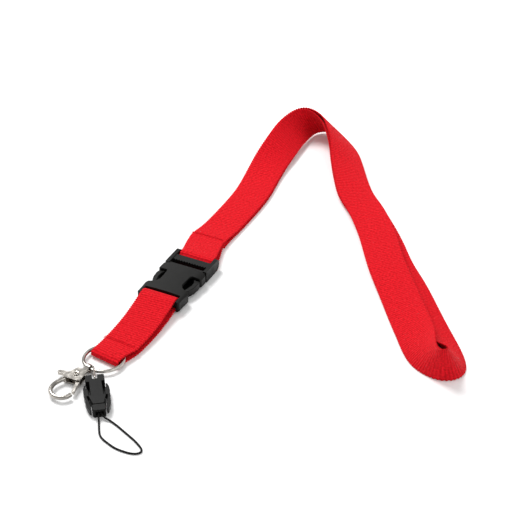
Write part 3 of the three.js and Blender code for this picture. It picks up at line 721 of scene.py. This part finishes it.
def grid_mesh(name: str, grid: np.ndarray, uv: np.ndarray, closed: bool) -> Mesh:
    """A closed surface over a grid of points whose rows are rings.

    Args:
        name: the mesh's name.
        grid: rings x points per ring x 3; each ring is closed.
        uv: rings x points per ring x 2.
        closed: whether the last ring joins the first; otherwise both ends get a flat cap.

    Returns:
        A smooth mesh with faces pointing out and a UV map named "weave".
    """
    rings, sides = grid.shape[:2]
    i = np.arange(rings if closed else rings - 1)[:, None]
    k = np.arange(sides)[None, :]
    i2, k2 = (i + 1) % rings, (k + 1) % sides
    corners = (i * sides + k, i * sides + k2, i2 * sides + k2, i2 * sides + k)
    quads = np.stack(corners, -1).reshape(-1, 4)
    points = grid.reshape(-1, 3)
    a, b, c, d = (points[quads[:, n]] for n in range(4))
    volume = np.einsum("ij,ij->", a, np.cross(b, c)) + np.einsum("ij,ij->", a, np.cross(c, d))
    faces = quads.tolist()
    if not closed:
        faces += [list(range(sides))[::-1], list(range((rings - 1) * sides, rings * sides))]
    if volume < 0:
        faces = [face[::-1] for face in faces]
    mesh = bpy.data.meshes.new(name)
    mesh.from_pydata(points.tolist(), [], faces)
    loops = np.empty(len(mesh.loops), int)
    mesh.loops.foreach_get("vertex_index", loops)
    flat = uv.reshape(-1, 2)[loops]
    mesh.uv_layers.new(name="weave").data.foreach_set("uv", flat.astype(np.float32).ravel())
    mesh.polygons.foreach_set("use_smooth", np.ones(len(mesh.polygons), bool))
    mesh.update()
    return mesh


# ---- pieces
def new_piece(name: str, mesh: Mesh, material: Material) -> Piece:
    """Links a mesh to the scene under a name, with one material.

    Args:
        name: the piece's name.
        mesh: its mesh.
        material: its finish.

    Returns:
        The piece.
    """
    piece = bpy.data.objects.new(name, mesh)
    bpy.context.scene.collection.objects.link(piece)
    mesh.materials.clear()
    mesh.materials.append(material)
    return piece


def declared(piece: Piece, node: str, body: Body) -> Piece:
    """Hides the CAD node that a piece replaces, and puts the piece on the body that it moves with.

    Args:
        piece: the piece.
        node: the CAD node that it replaces.
        body: the body that it moves with.

    Returns:
        The same piece.
    """
    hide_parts(node)
    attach(piece, body.value)
    return piece


def merged(name: str, parts: list[Mesh], material: Material) -> Piece:
    """One piece made of several separate meshes, which are used up.

    Args:
        name: the piece's name.
        parts: the meshes.
        material: its finish.

    Returns:
        The piece.
    """
    bm = bmesh.new()
    for part in parts:
        bm.from_mesh(part)
        bpy.data.meshes.remove(part)
    mesh = bpy.data.meshes.new(name)
    bm.to_mesh(mesh)
    bm.free()
    return new_piece(name, mesh, material)


def rounded_copy(node: str, name: str, material: Material, width: float, segments: int = 2) -> Piece:
    """A CAD solid with its facets merged and its edges rounded.

    Args:
        node: the CAD node.
        name: the new piece's name.
        material: its finish.
        width: the rounding's width in millimetres.
        segments: steps of the rounding.

    Returns:
        The new piece, with a live bevel and creases kept sharp.
    """
    bm = bmesh.new()
    bm.from_mesh(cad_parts[node].data)
    bmesh.ops.remove_doubles(bm, verts=bm.verts, dist=SAME_POINT)
    bmesh.ops.dissolve_limit(bm, angle_limit=FLAT_ANGLE, verts=bm.verts, edges=bm.edges)
    for face in bm.faces:
        face.smooth = True
    for edge in bm.edges:
        edge.smooth = not (edge.is_manifold and edge.calc_face_angle(0.0) > CREASE_ANGLE)
    mesh = bpy.data.meshes.new(name)
    bm.to_mesh(mesh)
    bm.free()
    piece = new_piece(name, mesh, material)
    bevel = piece.modifiers.new("rounded_edges", "BEVEL")
    bevel.width = width * MM
    bevel.segments = segments
    bevel.limit_method = "ANGLE"
    bevel.angle_limit = CREASE_ANGLE
    bevel.harden_normals = True
    return piece


# ---- routes, in table millimetres
@dataclass(frozen=True)
class Place:
    """Where a sub-assembly lies on the table: its own origin and its turn about +Z in degrees."""

    x: float
    y: float
    turn: float

    def on_table(self, points: np.ndarray) -> np.ndarray:
        """Points of the sub-assembly's own frame, in table millimetres.

        Args:
            points: one per row.

        Returns:
            The points turned about +Z and moved to the sub-assembly's place.
        """
        c, s = math.cos(math.radians(self.turn)), math.sin(math.radians(self.turn))
        x, y, z = np.asarray(points, float).T
        return np.stack([self.x + x * c - y * s, self.y + x * s + y * c, z], -1)


BUCKLE = Place(-41, -27, -26.5)
LINK = Place(-80.19, -101.58, 7.7)

# The neck strap's tail and its turn round the buckle's bars: middle line, in the buckle's frame.
NECK_TAIL = [
    [-4.8, 45.5, 2.05], [-4.4, 42.7, 2.05], [-3.6, 38, 1.75], [-2.2, 33, 0.95], [-0.7, 27.5, 0.55],
    [0, 23, 0.52], [0, 17, 0.52], [0, 12.4, 0.55], [0, 10.6, 0.8], [0, 10.1, 1.4], [0, 10.6, 2.0],
    [0, 12.4, 2.25], [0, 15.2, 2.25], [0, 17.2, 2.75], [0, 18.5, 4.2], [0, 19.6, 5.6],
    [0, 21.4, 6.15], [-0.4, 24.5, 5.8], [-1.7, 29, 5.1], [-3.4, 36, 4.2], [-4.4, 42.7, 3.55],
]
# Its outer layer from the buckle to the loop's end, as [left edge, right edge].
NECK_OUTER = [
    [[-36.6, 12.7, 0.52], [-17.9, 5.6, 0.52]],
    [[-33.3, 20.3, 0.52], [-14.9, 12.9, 0.52]],
    [[-28.6, 28.2, 0.52], [-10.0, 20.8, 0.52]],
    [[-18.4, 48.0, 0.52], [0.4, 41.0, 0.52]],
    [[-11.0, 64.6, 0.6], [7.8, 57.6, 0.52]],
    [[-5.2, 82.6, 1.5], [13.6, 76.0, 0.6]],
    [[0.2, 97.0, 5.5], [18.0, 88.5, 1.0]],
    [[6.0, 107.5, 11.0], [22.5, 98.5, 1.2]],
    [[14.4, 120.7, 16.0], [28.5, 114.5, 1.2]],
    [[28.0, 129.0, 20.0], [37.0, 131.0, 1.2]],
    [[37.6, 121.4, 20.0], [49.0, 129.0, 2.0]],
    [[41.5, 110.5, 18.0], [55.5, 116.0, 3.0]],
    [[44.0, 99.0, 14.0], [60.5, 103.0, 3.2]],
    [[44.4, 86.0, 10.4], [62.6, 89.0, 3.2]],
    [[45.4, 68.3, 7.4], [64.7, 72.0, 3.2]],
    [[47.6, 53.0, 5.2], [67.0, 57.0, 3.6]],
    [[52.4, 38.0, 3.9], [71.5, 41.5, 4.4]],
    [[56.8, 16.0, 3.0], [76.1, 18.5, 5.6]],
    [[60.2, -14.8, 2.4], [79.8, -11.0, 5.8]],
    [[65.1, -41.0, 1.4], [84.3, -37.0, 6.6]],
    [[68.5, -60.0, 0.8], [87.3, -56.0, 8.0]],
    [[71.0, -74.0, 0.6], [89.2, -70.0, 10.6]],
]
# The loop's end and the way back underneath, as [left edge, right edge].
NECK_TURN = [
    [[73.6, -86.0, 0.55], [89.6, -84.0, 13.6]],
    [[78.0, -96.5, 0.55], [88.0, -97.0, 17.4]],
    [[84.0, -103.5, 0.55], [88.2, -105.6, 19.5]],
    [[92.0, -108.3, 0.55], [91.0, -108.8, 20.0]],
    [[101.0, -106.3, 0.55], [94.3, -105.4, 19.6]],
    [[104.4, -98.0, 0.55], [91.5, -97.0, 15.4]],
    [[102.8, -83.0, 0.55], [84.9, -80.0, 7.2]],
    [[98.0, -62.0, 0.55], [79.0, -57.0, 2.8]],
    [[90.8, -29.2, 0.6], [71.4, -25.0, 1.5]],
    [[84.2, -5.4, 0.7], [64.8, -1.5, 1.0]],
    [[79.1, 20.5, 0.8], [59.8, 16.5, 0.8]],
    [[72.6, 43.5, 1.2], [53.4, 39.0, 1.2]],
]
# The short strap's middle line on the table.
SHORT_LINE = np.vstack([
    BUCKLE.on_table([[0, -16, 0], [0, -21, 0]]),
    [[-55.2, -57, 0], [-60.4, -68.5, 0], [-67, -80.5, 0], [-72.6, -88.8, 0]],
    [[-75.6, -93.1, 0], [-77.2, -95.4, 0]],
])
# Its closed band, as [distance along that line, height].
SHORT_BAND = [
    [4.5, 7.4], [7.5, 7.3], [12, 6.5], [18, 5.7], [26, 4.9], [36, 4.1], [45, 3.7], [48, 4.0], [53, 4.25],
    [56.6, 4.2], [58.2, 3.6], [58.8, 2.4], [58.2, 1.15], [56.6, 0.55], [53, 0.52], [45, 0.52], [36, 0.52],
    [26, 0.55], [18, 0.6], [12, 0.9], [8, 1.35], [4.5, 1.9], [3.0, 2.3], [2.0, 3.4], [2.0, 5.6], [3.0, 7.0],
]
# The phone loop, from the connector's plug and back into it.
CORD_ROUTE = [
    [-75.35, -133.6, 2.5], [-75.15, -135.6, 2.2], [-75.0, -137.6, 1.4], [-74.8, -139.8, 0.7],
    [-74.5, -143, 0.56], [-73.9, -147.3, 0.56], [-72.6, -150.3, 0.56], [-70.1, -153.3, 0.56],
    [-65.9, -157.3, 0.56], [-60.6, -160.2, 0.56], [-56.8, -161.2, 0.56], [-54.2, -160.6, 0.56],
    [-53.4, -158.9, 0.56], [-54.4, -156.2, 0.56], [-57.4, -151.7, 0.56], [-61.8, -146.4, 0.56],
    [-66.2, -141.2, 0.56], [-69.6, -138, 0.8], [-71.8, -136.9, 1.5], [-73.4, -135.6, 2.2],
    [-74.1, -133.6, 2.5],
]


def shifted(p: np.ndarray, q: np.ndarray, distance: float) -> tuple:
    """Edge pairs moved off their own surface, along (q - p) x (direction of travel).

    Args:
        p: left edge.
        q: right edge.
        distance: how far.

    Returns:
        The two moved edges.
    """
    both = p + q
    along = np.vstack([both[1] - both[0], both[2:] - both[:-2], both[-1] - both[-2]])
    off = unit(np.cross(q - p, along)) * distance
    return p + off, q + off


def neck_edges() -> tuple:
    """Left and right edges of the whole neck strap, in table millimetres.

    The order is: tail under the strap, turn round the buckle's bars, upper layer, far bend, right
    leg underneath, the loop's end, and back over the top to the seam.

    Returns:
        (left edge, right edge).
    """
    tail, outer, turn = (np.array(route, float) for route in (NECK_TAIL, NECK_OUTER, NECK_TURN[::-1]))
    half = np.array([WEB_WIDTH / 2, 0, 0])
    shared = outer[1:16]
    inner_p, inner_q = shifted(shared[:, 0], shared[:, 1], LAYER_PITCH)
    p = np.vstack([BUCKLE.on_table(tail - half), inner_p[1:], turn[:, 1], outer[::-1, 1]])
    q = np.vstack([BUCKLE.on_table(tail + half), inner_q[1:], turn[:, 0], outer[::-1, 0]])
    return p, q


# ---- stitches
@dataclass(frozen=True)
class Tuft:
    """Cut thread ends at one end of a seam."""

    way: int
    past: float
    drop: float
    reach: float
    seed: int

    def ends(self, row_end: np.ndarray, right: np.ndarray) -> list[Mesh]:
        """A few cut ends that stick out past the strap's edge and curl.

        Each runs along a straight lean times t plus a curl times t squared, and thins by half.

        Args:
            row_end: where the sewn rows end, in metres.
            right: unit vector from the strap's left edge to its right edge.

        Returns:
            One mesh per thread end.
        """
        rng = np.random.default_rng(self.seed)
        out = self.way * right
        root = row_end + self.past * MM * out - self.drop * MM * UP
        side = np.cross(out, UP)
        t = np.linspace(0, 1, 9)[:, None]
        made = []
        for _ in range(LOOSE_ENDS):
            lean = out + side * rng.uniform(-0.9, 0.9) + UP * rng.uniform(-0.1, 0.35)
            curl = side * rng.uniform(-0.6, 0.6) + UP * rng.uniform(-0.3, 0.2)
            start = root + side * rng.uniform(-0.5, 0.5) * MM
            path = start + self.reach * MM * rng.uniform(0.6, 1.0) * (lean * t + curl * t**2)
            grid, uv = tube_rings(path, LOOSE_RADIUS * MM * (1 - 0.5 * t[:, 0]), 6, False)
            made.append(grid_mesh("end", grid, uv, False))
        return made


def stitch_row(left: np.ndarray, right: np.ndarray, along: np.ndarray) -> Mesh:
    """A sewn row from left to right, as one thread that dips into the webbing between stitches.

    The thread's place across is even; along the strap it swings from side to side once per stitch;
    its height is the size of a sine, so that every half stitch ends in the webbing.

    Args:
        left: the row's first point on the webbing's surface.
        right: its last point.
        along: unit vector along the strap.

    Returns:
        The thread's mesh.
    """
    wire = STITCH_WIRE * MM
    t = np.linspace(0, 1, STITCHES * 12 + 1)[:, None]
    lift = (np.abs(np.sin(math.pi * STITCHES * t)) ** 0.6 - 0.55) * wire
    sway = STITCH_SWING * MM * np.cos(math.pi * STITCHES * t)
    path = left + t * (right - left) + sway * along + lift * UP
    grid, uv = tube_rings(path, wire / 2, 8, False)
    return grid_mesh("row", grid, uv, False)


def sewn_rows(name: str, left: np.ndarray, right: np.ndarray, along: np.ndarray, tufts: tuple[Tuft, ...],
              material: Material) -> Piece:
    """Two sewn rows side by side, with their cut ends, as one piece.

    Args:
        name: the piece's name.
        left: left end of the line between the rows, in metres.
        right: its right end.
        along: unit vector along the strap.
        tufts: the cut ends.
        material: the thread's finish.

    Returns:
        The piece.
    """
    offsets = [along * offset * MM for offset in (-ROW_OFFSET, ROW_OFFSET)]
    parts = [stitch_row(left + offset, right + offset, along) for offset in offsets]
    for tuft in tufts:
        parts += tuft.ends(right if tuft.way > 0 else left, unit(right - left))
    return merged(name, parts, material)


# ---- sub-assemblies
@dataclass
class NeckStrap:
    """The neck loop: one webbing strap, and the seam that sews its three layers together."""

    finishes: Finishes
    step: float = 0.42
    softness: float = 4.0
    held_until: Range = (18.0, 22.0)
    seam: tuple = (-4.4, 42.7, 4.1)
    seam_reach: Range = (8.6, 8.9)
    tufts: tuple = (Tuft(1, 0.7, 0.3, 1.5, 3), Tuft(1, 0.9, 2.4, 1.7, 8), Tuft(-1, 1.2, 0.3, 0.8, 5))

    def build(self) -> list[Piece]:
        """Builds the strap and its stitches.

        The edges are smoothed with a bell curve, except where the buckle's bars hold the strap,
        and then set the strap's width apart.

        Returns:
            The pieces.
        """
        p, q, found = sampled_edges(*neck_edges(), self.step, False)
        spread = smoothstep(found, *self.held_until) * self.softness / self.step
        p, q = smoothed(p, spread), smoothed(q, spread)
        middle, half = (p + q) / 2, unit(q - p) * WEB_WIDTH / 2
        p, q = framed(middle - half), framed(middle + half)
        mesh = grid_mesh("neck_strap_webbing", *strap_rings(p, q, False), False)
        strap = new_piece("neck_strap_webbing", mesh, self.finishes.webbing)
        declared(strap, "neck_webbing", Body.NECK_STRAP)
        seam = self.stitches()
        return [strap, seam]

    def stitches(self) -> Piece:
        """Two sewn rows across the three layers, with most cut ends at the right edge.

        Returns:
            The stitches, as one piece.
        """
        x, y, z = self.seam
        line = [[x - self.seam_reach[0], y, z], [x + self.seam_reach[1], y, z], [x, y + 1, z]]
        left, right, ahead = framed(BUCKLE.on_table(line))
        along = unit(ahead - (left + right) / 2)
        piece = sewn_rows("neck_stitches", left, right, along, self.tufts, self.finishes.thread)
        return declared(piece, "neck_bartack", Body.NECK_STRAP)


@dataclass
class ShortStrap:
    """The closed band of webbing between the buckle and the key ring, sewn near the ring."""

    finishes: Finishes
    step: float = 0.4
    line_points: int = 2400
    fold_width: float = 17.2
    narrows: Range = (42.0, 54.0)
    seam: Range = (45.0, 4.25)
    seam_inset: Range = (1.5, 1.2)
    tufts: tuple = (Tuft(1, 0.9, 0.4, 1.4, 11), Tuft(-1, 1.4, 0.4, 0.9, 13))

    def edges(self, band: np.ndarray) -> tuple:
        """Edges of the band, narrowed towards its fold in the ring.

        Args:
            band: rows of (distance along the strap's line, height).

        Returns:
            (left edge, right edge).
        """
        found = np.linspace(0, len(SHORT_LINE) - 1 - LAST_POINT, self.line_points)
        points = catmull_rom(SHORT_LINE, found, False)
        distance, ways = distances(points), directions(points, False)
        at, way = (
            np.stack([np.interp(band[:, 0], distance, rows[:, n]) for n in (0, 1)], -1)
            for rows in (points, ways)
        )
        way = unit(way)
        taper = smoothstep(band[:, 0], *self.narrows)
        half = (WEB_WIDTH + (self.fold_width - WEB_WIDTH) * taper)[:, None] / 2
        across = np.stack([way[:, 1], -way[:, 0]], -1) * half
        height = band[:, 1:2]
        return np.hstack([at - across, height]), np.hstack([at + across, height])

    def build(self) -> list[Piece]:
        """Builds the band and its stitches.

        Returns:
            The pieces.
        """
        p, q, _ = sampled_edges(*self.edges(np.array(SHORT_BAND, float)), self.step, True)
        p, q = framed(p), framed(q)
        mesh = grid_mesh("short_strap_webbing", *strap_rings(p, q, True), True)
        strap = new_piece("short_strap_webbing", mesh, self.finishes.webbing)
        declared(strap, "short_webbing", Body.SHORT_STRAP)
        seam = self.stitches()
        return [strap, seam]

    def stitches(self) -> Piece:
        """Two sewn rows across both layers, with most cut ends at the right edge.

        Returns:
            The stitches, as one piece.
        """
        p, q = self.edges(np.array([self.seam]))
        left, right = framed(p[0]), framed(q[0])
        out = unit(right - left)
        left, right = left + self.seam_inset[0] * MM * out, right - self.seam_inset[1] * MM * out
        along = np.cross(UP, out)
        piece = sewn_rows("short_stitches", left, right, along, self.tufts, self.finishes.thread)
        return declared(piece, "short_stitching", Body.SHORT_STRAP)


@dataclass
class Buckle:
    """The side-release buckle: toothed frame, two springy prongs, and the crowned sleeve."""

    finishes: Finishes
    segments: int = 3
    pieces: tuple = (
        ("buckle_male_frame", "buckle_frame", Body.NECK_STRAP, 0.35),
        ("buckle_prong_left", "buckle_latch_left", Body.PRONG_LEFT, 0.4),
        ("buckle_prong_right", "buckle_latch_right", Body.PRONG_RIGHT, 0.4),
        ("buckle_female", "buckle_sleeve", Body.SHORT_STRAP, 0.4),
    )

    def build(self) -> list[Piece]:
        """Builds the four moulded pieces from their CAD solids."""
        finish = self.finishes.buckle
        return [
            declared(rounded_copy(node, name, finish, width, self.segments), node, body)
            for node, name, body, width in self.pieces
        ]


@dataclass
class KeyRing:
    """The round wire ring that the short strap holds."""

    finishes: Finishes
    rings: int = 180
    sides: int = 28

    def build(self) -> list[Piece]:
        """Builds the ring as a torus: a circle of wire swept round a circle.

        Returns:
            The ring, in a list.
        """
        angle = FULL_TURN * np.arange(self.rings) / self.rings
        path = RING_CENTRE + RING_R * np.stack([np.cos(angle), np.sin(angle), 0 * angle], -1)
        grid, uv = tube_rings(framed(path), RING_WIRE / 2 * MM, self.sides, True)
        ring = new_piece("key_ring_wire", grid_mesh("key_ring_wire", grid, uv, True), self.finishes.ring)
        return [declared(ring, "key_ring", Body.KEY_RING)]


@dataclass
class Clasp:
    """The swivel trigger clasp: eye, rivets, cheeks with their hook, gate and gate spring."""

    finishes: Finishes
    pieces: tuple = (
        ("swivel_eye", "clasp_eye", Body.SWIVEL, 0.2),
        ("swivel_rivet", "clasp_swivel_rivet", Body.SWIVEL, 0.12),
        ("clasp_body", "clasp_cheeks_and_hook", Body.CLASP, 0.18),
        ("clasp_gate", "clasp_trigger", Body.GATE, 0.25),
        ("clasp_gate_spring", "clasp_spring", Body.CLASP, 0.02),
        ("clasp_gate_rivet", "clasp_rivet", Body.CLASP, 0.12),
    )

    def build(self) -> list[Piece]:
        """Builds the clasp's metal pieces from their CAD solids."""
        return [
            declared(rounded_copy(node, name, self.finishes.clasp, width), node, body)
            for node, name, body, width in self.pieces
        ]


@dataclass
class Connector:
    """The detachable connector, the wire link it hangs on, and the crimp in its plug."""

    finishes: Finishes
    link_radius: float = 1.7
    link_straight: float = 7.23
    link_wire: float = 0.8
    link_sides: int = 16
    arc_points: int = 25
    straight_points: int = 20
    segments: int = 3
    pieces: tuple = (
        ("connector_socket", "connector_shell", Body.CONNECTOR_TOP, 0.35),
        ("connector_plug", "connector_block", Body.CONNECTOR_PLUG, 0.35),
        ("connector_prong_left", "connector_grip_left", Body.GRIP_LEFT, 0.3),
        ("connector_prong_right", "connector_grip_right", Body.GRIP_RIGHT, 0.3),
    )
    crimp_round: float = 0.15

    def link(self) -> Piece:
        """Builds the link: wire swept round two half circles joined by straight sides.

        Returns:
            The link.
        """
        turn = np.linspace(0, math.pi, self.arc_points)
        r, s = self.link_radius, self.link_straight
        top = np.stack([0 * turn, r * np.sin(turn), r * np.cos(turn)], -1)
        bottom = np.stack([0 * turn, -s - r * np.sin(turn), -r * np.cos(turn)], -1)
        share = np.linspace(0, 1, self.straight_points)[1:-1, None]
        down = top[-1] + share * (bottom[0] - top[-1])
        back = bottom[-1] + share * (top[0] - bottom[-1])
        path = LINK.on_table(np.vstack([top, down, bottom, back]) + RING_CENTRE[2] * UP)
        grid, uv = tube_rings(framed(path), self.link_wire / 2 * MM, self.link_sides, True)
        link = new_piece("link_wire", grid_mesh("link_wire", grid, uv, True), self.finishes.ring)
        return declared(link, "wire_link", Body.WIRE_LINK)

    def build(self) -> list[Piece]:
        """Builds the link, the two halves, the side grips and the crimp.

        Returns:
            The pieces.
        """
        finish = self.finishes.connector
        made = [self.link()]
        made += [
            declared(rounded_copy(node, name, finish, width, self.segments), node, body)
            for node, name, body, width in self.pieces
        ]
        crimp = rounded_copy("cord_crimp", "connector_crimp", self.finishes.clasp, self.crimp_round)
        return made + [declared(crimp, "cord_crimp", Body.CONNECTOR_PLUG)]


@dataclass
class PhoneLoop:
    """The thin cord that loops round on the table from the connector's plug."""

    finishes: Finishes
    diameter: float = 1.0
    step: float = 0.4
    sides: int = 14

    def build(self) -> list[Piece]:
        """Returns:
            The cord, in a list.
        """
        route = np.array(CORD_ROUTE, float)
        path = framed(catmull_rom(route, even_times(route, self.step, False), False))
        grid, uv = tube_rings(path, self.diameter / 2 * MM, self.sides, False)
        piece = new_piece("phone_loop", grid_mesh("phone_loop", grid, uv, False), self.finishes.cord)
        declared(piece, "phone_cord", Body.CONNECTOR_PLUG)
        return [piece]


@dataclass
class Studio:
    """The pale floor, the soft lights and the camera, in metres."""

    floor_half: float = 3.0
    floor_colour: Colour = (0.92, 0.92, 0.92, 1.0)
    floor_roughness: float = 0.9
    floor_specular: float = 0.1
    white: Colour = (1.0, 1.0, 1.0, 1.0)
    world_strength: float = 0.7
    lamps: tuple = (("key", (-0.55, 0.75, 1.3), 0.7, 22.0), ("fill", (1.2, -0.6, 1.3), 1.4, 6.0))
    camera_at: tuple = (0.0, -0.7413, 0.5191)
    camera_tilt: float = 55.0
    lens: float = 116.7
    sensor: float = 36.0
    far_clip: float = 20.0

    def floor(self) -> None:
        """A large plain sheet that the lanyard lies on."""
        r = self.floor_half
        mesh = bpy.data.meshes.new("floor")
        mesh.from_pydata([(-r, -r, 0), (r, -r, 0), (r, r, 0), (-r, r, 0)], [], [(0, 1, 2, 3)])
        material, _, shader = new_material("floor_white")
        set_values(shader, {"Base Color": self.floor_colour, "Roughness": self.floor_roughness})
        set_values(shader, {"Specular IOR Level": self.floor_specular})
        new_piece("floor", mesh, material)

    def lamp(self, name: str, at: tuple, size: float, watts: float) -> None:
        """A round area lamp, aimed at the middle of the table.

        Args:
            name: the lamp's name.
            at: its place.
            size: its diameter.
            watts: its power.
        """
        data = bpy.data.lights.new(name, "AREA")
        data.shape = "DISK"
        data.size = size
        data.energy = watts
        lamp = bpy.data.objects.new(name, data)
        lamp.location = at
        lamp.rotation_euler = (-Vector(at)).to_track_quat("-Z", "Y").to_euler()
        bpy.context.scene.collection.objects.link(lamp)

    def world(self) -> None:
        """Even white surroundings."""
        world = bpy.data.worlds.new("studio")
        world.use_nodes = True
        background = world.node_tree.nodes["Background"]
        set_values(background, {"Color": self.white, "Strength": self.world_strength})
        bpy.context.scene.world = world

    def camera(self) -> None:
        """A long lens that looks down at the lanyard from in front, with plain tones."""
        data = bpy.data.cameras.new("camera")
        data.sensor_width = self.sensor
        data.lens = self.lens
        data.clip_end = self.far_clip
        camera = bpy.data.objects.new("camera", data)
        camera.location = np.array(self.camera_at) + LANYARD_AT * MM
        camera.rotation_euler = (math.radians(self.camera_tilt), 0, 0)
        bpy.context.scene.collection.objects.link(camera)
        bpy.context.scene.camera = camera
        bpy.context.scene.view_settings.view_transform = "Standard"

    def build(self) -> None:
        """Sets the whole studio."""
        self.floor()
        self.world()
        for lamp in self.lamps:
            self.lamp(*lamp)
        self.camera()


def main() -> None:
    """Builds every sub-assembly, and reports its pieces."""
    logging.basicConfig(level=logging.INFO, format="%(name)s %(message)s")
    finishes = Finishes()
    Studio().build()
    for part in (Buckle, NeckStrap, ShortStrap, KeyRing, Clasp, Connector, PhoneLoop):
        for piece in part(finishes).build():
            log.info("%s: %s, %d faces", part.__name__, piece.name, len(piece.data.polygons))
    bpy.context.view_layer.update()


if __name__ == "__main__":
    main()
